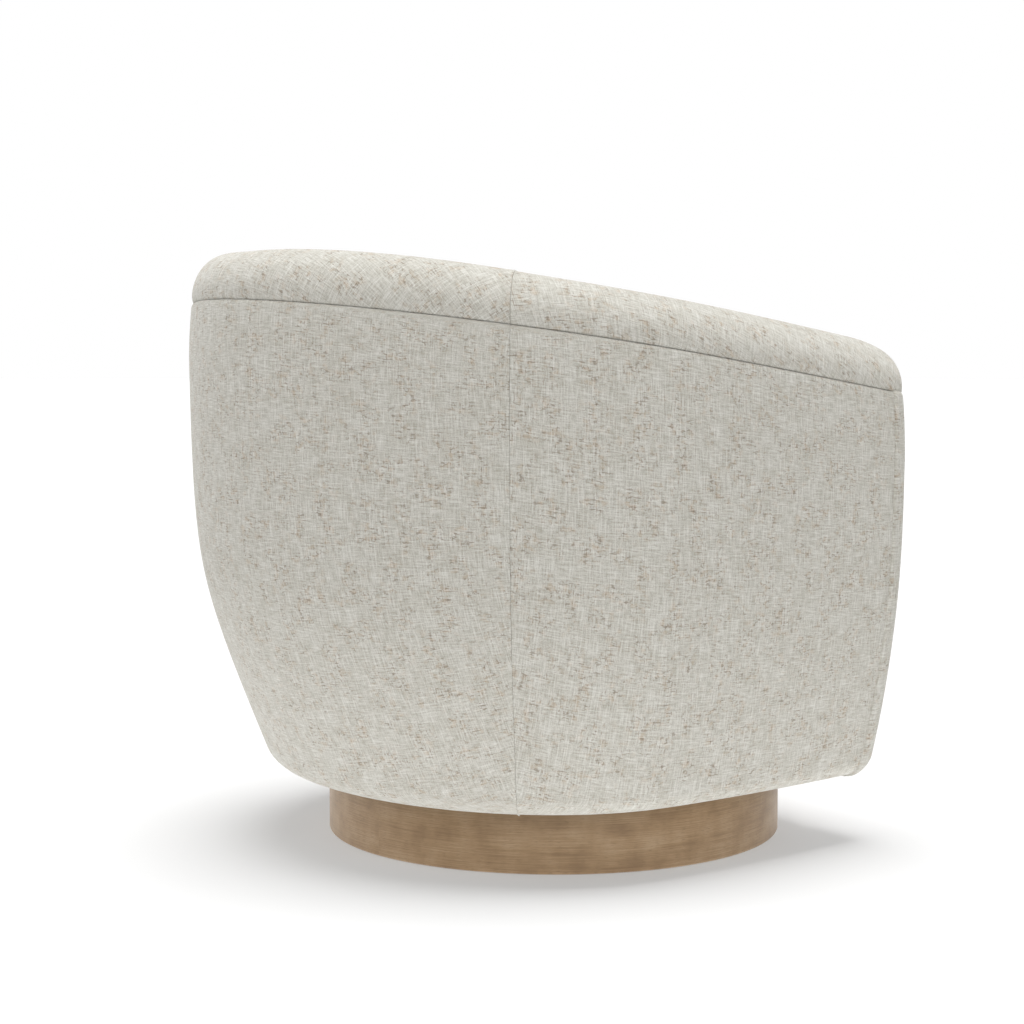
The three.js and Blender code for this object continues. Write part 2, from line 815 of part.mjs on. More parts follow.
function armFront(side) {
  return loft(
    frontLevels(seamPlane, coverLevelShares).map(({ edgeInset, height }) => {
      const point = (fromFront, inset) => {
        const z = height(fromFront - frontReach);
        const y = fromFront - frontAt(z);
        return new THREE.Vector3(side * armX(y, z, inset), y, z);
      };
      const arc = edgeAngles.map((a) => [
        edgeInset + (frontCornerRadius - edgeInset) * (1 - Math.sin(a)),
        frontCornerRadius * (1 - Math.cos(a)),
      ]);
      const outer = arc.map(([fromFront, inset]) => point(fromFront, inset + edgeInset));
      const inner = arc.map(([fromFront, inset]) => point(fromFront, wallThickness - inset));
      outer.unshift(point(frontPadDepth, edgeInset));
      inner.unshift(point(frontPadDepth, wallThickness));
      return [...outer, ...inner.reverse()];
    }),
  );
}

function frontApron() {
  const levels = frontLevels(() => deckTopZ - apronTopRadius, apronLevelShares);
  const topEdge = edgeAngles.slice(1).map((a) => [
    apronTopRadius * (1 - Math.cos(a)),
    deckTopZ - apronTopRadius * (1 - Math.sin(a)),
  ]);
  const rings = [...levels.map(({ edgeInset, height }) => [edgeInset, height(0)]), ...topEdge];
  return loft(
    rings.map(([edgeInset, z]) => {
      const corners = [frontPadDepth, apronSetback + edgeInset].map((fromFront) => {
        const y = fromFront - frontAt(z);
        return new THREE.Vector3(armX(y, z, wallThickness + fittingGap), y, z);
      });
      return mirrored(corners);
    }),
  );
}

function springTopAt(y, startY, endY) {
  const share = THREE.MathUtils.clamp((y - startY) / (endY - startY), 0, 1);
  return seatRailTopZ + 2 * clearance + springWire + springCrown * Math.sin(Math.PI * share) ** 2;
}

// The deck pad is flat on top and follows the arch of the springs below
function deckPad() {
  const inset = wallThickness + insideBulge + deckSideGap;
  const startY = armEndY(seatRailTopZ) + clearance;
  const reach = backReach(seatRailTopZ, inset);
  const front = divide(startY, backCentreY, deckSegments).slice(0, -1);
  const back = divide(1, deckEndShare, deckSegments).map(
    (run) => backCentreY + reach * Math.cos((run * Math.PI) / 2),
  );
  return loft(
    [...front, ...back].map((y) => {
      const share = Math.max((y - backCentreY) / reach, 0);
      const halfWidth = armX(y, seatRailTopZ, inset) * Math.sqrt(1 - share ** 2);
      const low = springTopAt(y, startY, backCentreY + reach) + deckSpringGap;
      return mirrored([low, deckTopZ].map((z) => new THREE.Vector3(halfWidth, y, z)));
    }),
  );
}

// Half of the cushion's outline from above, as runs and then points round the front corner
function cushionRing(z, inset, scale) {
  const sideInset = wallThickness + insideBulge + cushionSideGap + inset;
  const front = cushionFrontSetback + inset - frontReach;
  const runs = divide(cushionStartShare, 1, cushionBackSegments);
  const side = runs.map((run) => wallPoint(run, z, sideInset));
  for (const y of divide(backCentreY, front + cushionCornerRadius, cushionSideSegments).slice(1)) {
    side.push(new THREE.Vector3(armX(y, z, sideInset), y, z));
  }
  const centreX = side.at(-1).x - cushionCornerRadius;
  for (const angle of divide(0, Math.PI / 2, shoulderSegments).slice(1)) {
    const x = centreX + cushionCornerRadius * Math.cos(angle);
    side.push(new THREE.Vector3(x, front + cushionCornerRadius * (1 - Math.sin(angle)), z));
  }
  for (const share of cushionFrontShares) {
    const y = front + cushionPullIn * (1 - share ** 2);
    side.push(new THREE.Vector3(centreX * share, y, z));
  }
  const centre = new THREE.Vector3(0, (front + side[0].y) / 2, z);
  side.forEach((point) => point.sub(centre).multiplyScalar(scale).add(centre));
  return mirrored(side);
}

function seatCushion() {
  const topZ = cushionBottomZ + cushionEdgeHeight;
  const edge = edgeAngles.map((a) => ({
    up: cushionEdgeRadius * (1 - Math.cos(a)),
    inset: cushionEdgeRadius * (1 - Math.sin(a)),
  }));
  const under = cushionUnderShares.map((scale) => cushionRing(cushionBottomZ, cushionEdgeRadius, scale));
  const low = edge.map(({ up, inset }) => cushionRing(cushionBottomZ + up, inset, 1));
  const high = edge.map(({ up, inset }) => cushionRing(topZ - up, inset, 1)).reverse();
  const crown = cushionCrownShares.map((scale) =>
    cushionRing(topZ + cushionCrown * (1 - scale ** 2), cushionEdgeRadius, scale),
  );
  return loft([...under, ...low, ...high, ...crown]);
}

function addPadding(seat) {
  for (const [place, runs] of Object.entries(wallRuns)) {
    seat.add(piece(`outer_board_${place}`, outerBoard(...runs), "board"));
    seat.add(piece(`outside_${place}`, outsideCover(...runs), "linen"));
    seat.add(piece(`inside_${place}`, insidePad(...runs), "linen"));
    seat.add(piece(`cap_${place}`, makeCap(place), "linen"));
  }
  seat.add(piece("arm_front_left", armFront(-1), "linen"));
  seat.add(piece("arm_front_right", armFront(1), "linen"));
  seat.add(piece("front_apron", frontApron(), "linen"));
  seat.add(piece("deck_pad", deckPad(), "foam"));
  seat.add(piece("seat_cushion", seatCushion(), "linen"));
}

function makeSeat() {
  const seat = new THREE.Group();
  const upperPlate = swivelPlate().rotateX(Math.PI).translate(0, 0, swivelZ + swivelHeight);
  seat.add(piece("swivel_upper_plate", upperPlate, "steel"));
  seat.add(piece("swivel_rivet", swivelRivet(), "zinc"));
  const screwZ = swivelZ + swivelHeight - swivelSheet - clearance;
  screwPlaces.forEach(([x, y], k) => {
    seat.add(piece(`board_screw_${k + 1}`, screw().rotateX(Math.PI).translate(x, y, screwZ), "zinc"));
  });
  addFrame(seat);
  addPadding(seat);
  return seat;
}

// The part's origin is on the floor below the middle of the whole outline
const chair = new THREE.Group();
chair.position.y = -(backCentreY + backRadius - frontReach) / 2;
chair.add(makeBase(), piece("ball_ring", ballRing(), "steel"), makeSeat());

export default chair;
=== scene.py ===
"""Looks of a swivel barrel chair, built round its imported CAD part.

Sizes are in metres, +Z is up, the front of the chair faces -Y and +X is its right side.
"""

import logging
import math
from dataclasses import dataclass
from enum import Enum
from typing import Callable, Union

import bmesh
import bpy
import numpy as np
from mathutils import Matrix, Vector


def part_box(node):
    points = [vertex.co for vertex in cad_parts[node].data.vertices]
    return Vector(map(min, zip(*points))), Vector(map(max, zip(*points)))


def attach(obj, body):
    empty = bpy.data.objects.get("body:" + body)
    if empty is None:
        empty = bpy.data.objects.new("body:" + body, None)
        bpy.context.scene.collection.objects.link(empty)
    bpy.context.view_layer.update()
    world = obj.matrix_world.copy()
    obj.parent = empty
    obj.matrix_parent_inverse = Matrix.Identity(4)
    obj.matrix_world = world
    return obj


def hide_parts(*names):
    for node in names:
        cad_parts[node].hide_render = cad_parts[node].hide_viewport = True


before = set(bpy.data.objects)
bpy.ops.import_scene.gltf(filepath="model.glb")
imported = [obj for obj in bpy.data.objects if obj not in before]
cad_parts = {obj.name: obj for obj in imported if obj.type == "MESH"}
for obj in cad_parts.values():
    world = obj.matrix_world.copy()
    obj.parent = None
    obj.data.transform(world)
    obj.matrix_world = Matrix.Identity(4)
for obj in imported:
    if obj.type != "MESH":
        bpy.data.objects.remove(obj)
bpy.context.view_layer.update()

MM = 0.001
UV_NAME = "cloth"
# Vertices closer together than this are one
SAME = 0.00001
# Smallest angle or length that is divided by
SMALL = 1e-6
# Play between the top edge of a cover and the seam plane
HAIR = 0.0001

logging.basicConfig(level=logging.INFO, format="%(message)s")
log = logging.getLogger("chair")

Array = np.ndarray
Values = Union[float, np.ndarray]
Object = bpy.types.Object
Material = bpy.types.Material
Socket = bpy.types.NodeSocket
Input = Union[float, int, str, tuple, Socket]
Inputs = dict[Union[int, str], Input]
Test = Callable[[Vector, Vector], bool]


class Body(Enum):
    """CAD bodies that new pieces ride on."""

    BASE = "base"
    SEAT = "seat"


class Slot(Enum):
    """Material slots of the record, one for each finish of the new pieces."""

    LINEN = "linen"
    DECK = "deck_cloth"
    LINING = "black_lining"
    ELASTIC = "elastic_webbing"
    VENEER = "oak_veneer"


class Side(Enum):
    """Left and right as seen from the front, with the sign of X."""

    LEFT = -1
    RIGHT = 1

    @property
    def word(self) -> str:
        """The side's word in node names."""
        return self.name.lower()


# Finishes


def linear(hex_code: str) -> tuple[float, float, float, float]:
    """Turns an sRGB hex colour into linear light.

    Args:
        hex_code: The colour as "#RRGGBB".

    Returns:
        Red, green, blue and alpha in linear light.
    """
    parts = [int(hex_code[k : k + 2], 16) / 255 for k in (1, 3, 5)]
    light = [c / 12.92 if c <= 0.04045 else ((c + 0.055) / 1.055) ** 2.4 for c in parts]
    return (light[0], light[1], light[2], 1.0)


def feed(node: bpy.types.Node, inputs: Inputs) -> None:
    """Sets or links inputs of a node.

    Args:
        node: The node.
        inputs: Values or sockets by input name or number. A string is a hex colour.
    """
    for name, value in inputs.items():
        if isinstance(value, Socket):
            node.id_data.links.new(value, node.inputs[name])
        else:
            node.inputs[name].default_value = linear(value) if isinstance(value, str) else value


def add_node(
    tree: bpy.types.NodeTree, kind: str, inputs: Inputs, out: Union[int, str] = 0, **settings: object
) -> Socket:
    """Adds one node with its settings and links.

    Args:
        tree: The node tree that the node goes into.
        kind: The node's type name, without the "ShaderNode" in front.
        inputs: Values or sockets by input name or number. A string is a hex colour.
        out: Name or number of the output that is wanted.
        settings: Attributes to set on the node.

    Returns:
        The wanted output of the new node.
    """
    node = tree.nodes.new("ShaderNode" + kind)
    for name, value in settings.items():
        setattr(node, name, value)
    feed(node, inputs)
    return node.outputs[out]


def new_material(name: str) -> tuple[Material, bpy.types.Node]:
    """Makes an empty material.

    Args:
        name: The material's name.

    Returns:
        The material and its principled shader.
    """
    material = bpy.data.materials.new(name)
    material.use_nodes = True
    return material, material.node_tree.nodes["Principled BSDF"]


@dataclass(frozen=True)
class Streak:
    """One kind of yarn mark in a cloth: long along its yarn and thin across it.

    Sizes are in millimetres. low and high are the noise values between which it fades in. A
    streak without a colour is the mask that gathers the clumped ones after it into patches.
    """

    across: float
    along: float
    upright: bool
    low: float
    high: float
    colour: str | None
    strength: float
    offset: float
    clumped: bool = False


@dataclass(frozen=True)
class SlubLinen:
    """Plain-woven linen of uneven undyed yarns: matt, with pale threads and brown slubs.

    The yarns are 1 to 2 mm apart, which is about a pixel at the photograph's distance, so the
    marks are drawn as long as the real slubs, 10 to 40 mm.
    """

    name: str = "slub_linen"
    ground: str = "#BEBCB4"
    streaks: tuple[Streak, ...] = (
        Streak(26.0, 26.0, True, 0.35, 0.65, None, 1.0, 91.0),
        Streak(30.0, 34.0, True, 0.35, 0.70, "#ABA79B", 0.30, 3.0),
        Streak(9.0, 8.0, True, 0.48, 0.72, "#B2A08A", 0.60, 5.0, True),
        Streak(1.5, 1.5, True, 0.40, 0.75, "#8E8B83", 0.42, 7.0),
        Streak(1.7, 15.0, True, 0.45, 0.75, "#908B80", 0.40, 11.0),
        Streak(1.7, 13.0, False, 0.45, 0.75, "#8F8A7D", 0.42, 23.0),
        Streak(1.4, 26.0, True, 0.50, 0.70, "#DDDDD8", 0.30, 37.0),
        Streak(1.4, 20.0, False, 0.50, 0.70, "#DDDDD8", 0.30, 41.0),
        Streak(2.4, 8.0, False, 0.60, 0.72, "#736555", 0.58, 53.0, True),
        Streak(2.4, 6.0, True, 0.61, 0.74, "#776656", 0.52, 67.0, True),
    )
    detail: float = 1.5
    bump_strength: float = 0.35
    bump_height: float = 0.5 * MM
    roughness: float = 0.93
    sheen: float = 0.12
    sheen_roughness: float = 0.5
    specular: float = 0.25

    def make(self) -> Material:
        """Builds the material.

        Returns:
            The material, which reads the cloth's own UV map in metres.
        """
        material, shader = new_material(self.name)
        tree = material.node_tree
        uv = add_node(tree, "UVMap", {}, uv_map=UV_NAME)
        colour: Input = self.ground
        height: Input = 0.0
        clump: Input = 1.0
        for streak in self.streaks:
            size = (streak.across, streak.along) if streak.upright else (streak.along, streak.across)
            scale = (1 / (size[0] * MM), 1 / (size[1] * MM), 1)
            place = (streak.offset, streak.offset, 0)
            vector = add_node(tree, "Mapping", {"Vector": uv, "Location": place, "Scale": scale})
            inputs = {"Vector": vector, "Scale": 1.0, "Detail": self.detail}
            noise = add_node(tree, "TexNoise", inputs, noise_dimensions="2D")
            span = {"Value": noise, "From Min": streak.low, "From Max": streak.high}
            span["To Max"] = streak.strength
            mask = add_node(tree, "MapRange", span, interpolation_type="SMOOTHSTEP")
            if streak.colour is None:
                clump = mask
                continue
            if streak.clumped:
                mask = add_node(tree, "Math", {0: mask, 1: clump}, operation="MULTIPLY")
            # A colour mix node has its colour inputs at 6 and 7, and its colour output at 2
            colour = add_node(tree, "Mix", {0: mask, 6: colour, 7: streak.colour}, 2, data_type="RGBA")
            height = add_node(tree, "Math", {0: noise, 1: height}, operation="ADD")
        relief = {"Height": height, "Strength": self.bump_strength, "Distance": self.bump_height}
        looks = {
            "Base Color": colour,
            "Normal": add_node(tree, "Bump", relief),
            "Roughness": self.roughness,
            "Sheen Weight": self.sheen,
            "Sheen Roughness": self.sheen_roughness,
            "Specular IOR Level": self.specular,
        }
        feed(shader, looks)
        return material


@dataclass(frozen=True)
class OiledVeneer:
    """Rift-cut oak veneer under a satin grey-brown stain: fine level grain, soft broad mottling.

    Each layer of grain has its marks' length along and width across the grain in millimetres,
    its detail and its shift. They are the broad figure, the fine grain, the clouds and the pores.
    pore_span is the noise between which pores fade in, and roughness its lowest and highest value.
    """

    name: str = "stained_oak_veneer"
    stops: tuple[tuple[float, str], ...] = ((0.36, "#796146"), (0.5, "#8A7153"), (0.64, "#988165"))
    pore: str = "#5F4B35"
    layers: tuple[tuple[float, float, float, float], ...] = (
        (160.0, 22.0, 3.0, 5.0),
        (70.0, 0.9, 3.0, 17.0),
        (28.0, 34.0, 2.0, 29.0),
        (9.0, 0.5, 1.0, 43.0),
    )
    fine_share: float = 0.55
    cloud_share: float = 0.3
    pore_span: tuple[float, float] = (0.6, 0.75)
    pore_strength: float = 0.45
    bump_strength: float = 0.25
    bump_height: float = 0.15 * MM
    roughness: tuple[float, float] = (0.40, 0.56)
    specular: float = 0.3

    def make(self) -> Material:
        """Builds the material.

        Returns:
            The material, which reads the veneer's own UV map in metres.
        """
        material, shader = new_material(self.name)
        tree = material.node_tree
        uv = add_node(tree, "UVMap", {}, uv_map=UV_NAME)
        noises = []
        for along, across, detail, offset in self.layers:
            scale = (1 / (along * MM), 1 / (across * MM), 1)
            place = (offset, offset, 0)
            vector = add_node(tree, "Mapping", {"Vector": uv, "Location": place, "Scale": scale})
            inputs = {"Vector": vector, "Scale": 1.0, "Detail": detail}
            noises.append(add_node(tree, "TexNoise", inputs, noise_dimensions="2D"))
        broad, fine, cloud, pores = noises
        mixed = add_node(tree, "Mix", {0: self.fine_share, 2: broad, 3: fine})
        mixed = add_node(tree, "Mix", {0: self.cloud_share, 2: mixed, 3: cloud})
        ramp = add_node(tree, "ValToRGB", {"Fac": mixed})
        elements = ramp.node.color_ramp.elements
        elements.new(self.stops[1][0])
        for element, (position, colour) in zip(elements, self.stops):
            element.position = position
            element.color = linear(colour)
        low, high = self.pore_span
        span = {"Value": pores, "From Min": low, "From Max": high, "To Max": self.pore_strength}
        mask = add_node(tree, "MapRange", span)
        low, high = self.roughness
        relief = {"Height": fine, "Strength": self.bump_strength, "Distance": self.bump_height}
        looks = {
            "Base Color": add_node(tree, "Mix", {0: mask, 6: ramp, 7: self.pore}, 2, data_type="RGBA"),
            "Normal": add_node(tree, "Bump", relief),
            "Roughness": add_node(tree, "MapRange", {"Value": fine, "To Min": low, "To Max": high}),
            "Specular IOR Level": self.specular,
        }
        feed(shader, looks)
        return material


@dataclass(frozen=True)
class Grained:
    """A plain finish with grain that is drawn from the piece's own place.

    size is the grain along X, Y and Z in millimetres, and span the noise between dark and pale.
    """

    name: str
    dark: str
    pale: str
    size: tuple[float, float, float]
    roughness: float
    metallic: float = 0.0
    bump: float = 0.1
    sheen: float = 0.0
    span: tuple[float, float] = (0.35, 0.65)
    bump_height: float = 0.3 * MM

    def make(self) -> Material:
        """Builds the material.

        Returns:
            The material, which reads Object coordinates.
        """
        material, shader = new_material(self.name)
        tree = material.node_tree
        place = add_node(tree, "TexCoord", {}, "Object")
        scale = tuple(1 / (size * MM) for size in self.size)
        vector = add_node(tree, "Mapping", {"Vector": place, "Scale": scale})
        noise = add_node(tree, "TexNoise", {"Vector": vector, "Scale": 1.0, "Detail": 3.0})
        low, high = self.span
        share = add_node(tree, "MapRange", {"Value": noise, "From Min": low, "From Max": high})
        relief = {"Height": noise, "Strength": self.bump, "Distance": self.bump_height}
        looks = {
            "Base Color": add_node(tree, "Mix", {0: share, 6: self.dark, 7: self.pale}, 2, data_type="RGBA"),
            "Normal": add_node(tree, "Bump", relief),
            "Roughness": self.roughness,
            "Metallic": self.metallic,
            "Sheen Weight": self.sheen,
        }
        feed(shader, looks)
        return material


LINEN = SlubLinen().make()
VENEER = OiledVeneer().make()
# Plywood of birch, sawn and left bare: pale, with long fine grain
PLYWOOD = Grained("birch_plywood", "#B08D5C", "#D3B684", (60.0, 3.0, 1.4), 0.7).make()
# Grey chipboard of the thin stiffeners: matt and mottled
BOARD = Grained("grey_cardboard", "#7E6A4C", "#9A8460", (6.0, 6.0, 6.0), 0.9).make()
# Deep-drawn steel with a phosphate coat: dark grey, dull, with faint mottling
STAMPED_STEEL = Grained("phosphated_steel", "#55575A", "#7B7D80", (9.0, 9.0, 9.0), 0.42, 1.0).make()
# Drawn spring wire with a thin oil film: dark and fairly smooth
SPRING_STEEL = Grained("oiled_spring_wire", "#3E3F41", "#5A5B5D", (4.0, 4.0, 4.0), 0.35, 1.0).make()
# Zinc plated steel of screws and rivet: pale and bluish
ZINC = Grained("zinc_plated_steel", "#A9ABA8", "#C9CBCB", (3.0, 3.0, 3.0), 0.3, 1.0).make()
# Moulded nylon of the glides: near black with a fine texture
NYLON = Grained("moulded_nylon", "#141414", "#1F1F1E", (1.2, 1.2, 1.2), 0.55).make()
# Spun-bonded black lining under the seat: matt with a fibrous look
LINING = Grained("spunbond_lining", "#101010", "#1D1D1C", (2.5, 2.5, 2.5), 0.95, bump=0.3).make()
# Woven elastic webbing of the back: cream with ribs
ELASTIC = Grained("elastic_webbing", "#BDB39C", "#DDD5C0", (2.0, 2.0, 1.6), 0.85, bump=0.4).make()
# Calico over the deck pad: thin plain cotton, matt and creamy
CALICO = Grained("calico", "#C9C2B0", "#DAD4C5", (1.6, 1.6, 1.6), 0.92, bump=0.3, sheen=0.1).make()


# Tools for meshes


def finish_piece(
    obj: Object, material: Material, slot: Slot, body: Body, *nodes: str, fill: float | None = None
) -> None:
    """Gives a piece its material and says which CAD nodes it stands for.

    Args:
        obj: The finished piece, with its place in its mesh.
        material: Its material.
        slot: The record's slot for its finish. Not used.
        body: The CAD body that it rides on.
        nodes: The CAD nodes that it replaces.
        fill: How full its padding is, where it is padded. Not used.
    """
    obj.data.materials.clear()
    obj.data.materials.append(material)
    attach(obj, body.value)
    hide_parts(*nodes)
    log.info("%s: %d faces, for %s", obj.name, len(obj.data.polygons), ", ".join(nodes))


def added(name: str) -> Object:
    """Names the primitive that was just added.

    Args:
        name: The name for the object and its mesh.

    Returns:
        The object.
    """
    obj = bpy.context.object
    obj.name = obj.data.name = name
    return obj


def activate(obj: Object) -> None:
    """Selects a piece alone and makes it the active one.

    Args:
        obj: The piece.
    """
    bpy.ops.object.select_all(action="DESELECT")
    obj.select_set(True)
    bpy.context.view_layer.objects.active = obj


def apply_modifier(obj: Object, kind: str, **settings: object) -> None:
    """Adds a modifier and applies it.

    Args:
        obj: The piece.
        kind: The modifier's type.
        settings: Attributes to set on the modifier.
    """
    activate(obj)
    modifier = obj.modifiers.new(kind.title(), kind)
    for name, value in settings.items():
        setattr(modifier, name, value)
    bpy.ops.object.modifier_apply(modifier=modifier.name)


def edit(obj: Object, *steps: Callable[[], object]) -> None:
    """Runs edit-mode operators on a piece.

    Args:
        obj: The piece.
        steps: Calls to run in edit mode, in order, after everything is deselected.
    """
    activate(obj)
    bpy.ops.object.mode_set(mode="EDIT")
    bpy.ops.mesh.select_all(action="DESELECT")
    for step in steps:
        step()
    bpy.ops.object.mode_set(mode="OBJECT")


def merge() -> None:
    """Merges vertices that lie on one another, as an edit-mode step."""
    bpy.ops.mesh.select_all(action="SELECT")
    bpy.ops.mesh.remove_doubles(threshold=SAME)


def close_ends() -> None:
    """Closes open ends with a face each, as an edit-mode step."""
    bpy.ops.mesh.select_all(action="DESELECT")
    bpy.ops.mesh.select_mode(type="EDGE")
    bpy.ops.mesh.select_non_manifold(extend=False)
    bpy.ops.mesh.fill_holes(sides=0)


def face_outwards() -> None:
    """Turns all faces outwards, as an edit-mode step."""
    bpy.ops.mesh.select_all(action="SELECT")
    bpy.ops.mesh.normals_make_consistent(inside=False)


def pick(obj: Object, what: str, test: Test) -> Callable[[], None]:
    """Gives a step that selects faces or edges by their place and direction.

    Args:
        obj: The piece, which is in edit mode when the step runs.
        what: "FACE" or "EDGE".
        test: Takes a middle and a direction, a face's normal or an edge's run, and says yes or no.

    Returns:
        The step.
    """

    def run() -> None:
        """Selects what passes the test, and nothing else."""
        bpy.ops.mesh.select_mode(type=what)
        bpy.ops.mesh.select_all(action="DESELECT")
        mesh = bmesh.from_edit_mesh(obj.data)
        if what == "FACE":
            for face in mesh.faces:
                face.select_set(test(face.calc_center_median(), face.normal))
        else:
            for edge in mesh.edges:
                first, last = edge.verts[0].co, edge.verts[1].co
                edge.select_set(test((first + last) / 2, (last - first).normalized()))
        bmesh.update_edit_mesh(obj.data)

    return run


def coordinates(obj: Object) -> Array:
    """Reads where a piece's vertices are.

    Args:
        obj: The piece.

    Returns:
        Their places, one row each.
    """
    places = np.empty(len(obj.data.vertices) * 3)
    obj.data.vertices.foreach_get("co", places)
    return places.reshape(-1, 3)


def set_coordinates(obj: Object, places: Array) -> None:
    """Moves all vertices of a piece to new places, one row each."""
    obj.data.vertices.foreach_set("co", np.ascontiguousarray(places, dtype=float).ravel())
    obj.data.update()


def set_cloth_map(obj: Object, per_corner: Array) -> None:
    """Gives a piece its cloth coordinates, as its only UV map.

    Args:
        obj: The piece.
        per_corner: U and V in metres, one row for each face corner.
    """
    layers = obj.data.uv_layers
    layer = layers.get(UV_NAME) or layers.new(name=UV_NAME)
    layer.data.foreach_set("uv", np.ascontiguousarray(per_corner, dtype=float).ravel())
    for other in [layer.name for layer in layers if layer.name != UV_NAME]:
        layers.remove(layers[other])


def corners_of(obj: Object) -> tuple[Array, Array]:
    """Numbers that tie the face corners of a piece to its vertices and faces.

    Args:
        obj: The piece.

    Returns:
        The vertex number of each corner, and its face number.
    """
    vertex = np.empty(len(obj.data.loops), dtype=np.int32)
    obj.data.loops.foreach_get("vertex_index", vertex)
    totals = np.empty(len(obj.data.polygons), dtype=np.int32)
    obj.data.polygons.foreach_get("loop_total", totals)
    return vertex, np.repeat(np.arange(len(totals)), totals)


def box_cloth_map(obj: Object, places: Array) -> None:
    """Lays cloth on a padded block from six sides, as its sewn panels lie.

    Args:
        obj: The piece.
        places: Where its vertices lie in the straight block, one row each.
    """
    corners, face = corners_of(obj)
    starts = np.flatnonzero(np.diff(face, prepend=-1))
    first, second, third = (places[corners[starts + k]] for k in range(3))
    normal = np.abs(np.cross(second - first, third - first))[face]
    main = np.argmax(normal, axis=1)[:, None]
    points = places[corners]
    level = np.where(main == 1, points[:, [0, 2]], points[:, [0, 1]])
    set_cloth_map(obj, np.where(main == 0, points[:, [1, 2]], level))


def developed(points: Array) -> Array:
    """Cloth coordinates of a grid of points, as if the cloth were laid flat round its middle column.

    Args:
        points: Places with the columns first, then the rows, then X, Y and Z.

    Returns:
        U and V in metres for each point.
    """
    across = np.cumsum(np.linalg.norm(np.diff(points, axis=0), axis=2), axis=0)
    across = np.vstack([np.zeros((1, points.shape[1])), across])
    middle = points.shape[0] // 2
    across -= across[middle]
    steps = np.maximum(np.linalg.norm(np.diff(points[middle], axis=0), axis=1), SMALL)
    along = np.concatenate([[0.0], np.cumsum(steps)])
    # The lean is held to this many radians, so that no row turns back on itself
    steepest = 1.3
    lean = np.clip(np.gradient(across, along, axis=1), -steepest, steepest)
    safe = np.where(np.abs(lean) < SMALL, SMALL, lean)
    u = across * np.sin(safe) / safe
    v = along[None, :] - across * (1 - np.cos(safe)) / safe
    return np.stack([u, v], axis=2)


def cloth_grid(name: str, points: Array, flat: Array) -> Object:
    """Adds a grid primitive and lays it on a surface.

    Args:
        name: The piece's name.
        points: Places with the columns first, then the rows, then X, Y and Z.
        flat: Cloth coordinates in metres for each point.

    Returns:
        The new piece.
    """
    columns, rows = points.shape[:2]
    bpy.ops.mesh.primitive_grid_add(x_subdivisions=columns - 1, y_subdivisions=rows - 1, size=2)
    obj = added(name)
    start = coordinates(obj)
    column = np.rint((start[:, 0] + 1) / 2 * (columns - 1)).astype(int)
    row = np.rint((start[:, 1] + 1) / 2 * (rows - 1)).astype(int)
    set_coordinates(obj, points[column, row])
    corners = corners_of(obj)[0]
    set_cloth_map(obj, flat[column[corners], row[corners]])
    bpy.ops.object.shade_smooth()
    return obj


def spread(length: float, radius: float, count: int, edge_count: int) -> Array:
    """Places along an edge of a padded block, close together where its ends are rounded.

    Args:
        length: The edge's length.
        radius: Radius of the rounded ends.
        count: Number of even steps between the rounded ends.
        edge_count: Number of steps in each rounded end.

    Returns:
        Places from minus to plus half the length.
    """
    inner = length / 2 - radius
    turn = radius * np.tan(np.linspace(0, math.pi / 4, edge_count + 1))
    high = inner + turn
    return np.concatenate([-high[::-1], np.linspace(-inner, inner, count + 1)[1:-1], high])


@dataclass(frozen=True)
class PaddedBlock:
    """A straight padded block with rounded edges, which is then bent into its place."""

    size: tuple[float, float, float]
    radius: float
    counts: tuple[int, int, int]
    edge_count: int = 4

    def make(self, name: str, place: Callable[[Array], Array]) -> Object:
        """Adds a cube, cuts it up, rounds its edges and moves it into place.

        Args:
            name: The piece's name.
            place: Turns places in the straight block into places on the chair.

        Returns:
            The new piece.
        """
        bpy.ops.mesh.primitive_cube_add(size=2)
        obj = added(name)
        lines = [
            spread(length, self.radius, count, self.edge_count)
            for length, count in zip(self.size, self.counts)
        ]
        for axis, line in enumerate(lines):
            edit(
                obj,
                pick(obj, "EDGE", lambda middle, run, axis=axis: abs(run[axis]) > 0.5),
                lambda cuts=len(line) - 2: bpy.ops.mesh.subdivide(number_cuts=cuts),
            )
        start = coordinates(obj)
        share = (start + 1) / 2
        number = [np.rint(share[:, k] * (len(line) - 1)).astype(int) for k, line in enumerate(lines)]
        flat = np.stack([line[n] for line, n in zip(lines, number)], axis=1)
        inner = np.array(self.size) / 2 - self.radius
        core = np.clip(flat, -inner, inner)
        out = flat - core
        reach = np.linalg.norm(out, axis=1, keepdims=True)
        straight = core + self.radius * out / np.where(reach < SMALL, 1, reach)
        set_coordinates(obj, place(straight))
        box_cloth_map(obj, straight)
        activate(obj)
        bpy.ops.object.shade_smooth()
        return obj


# Outline


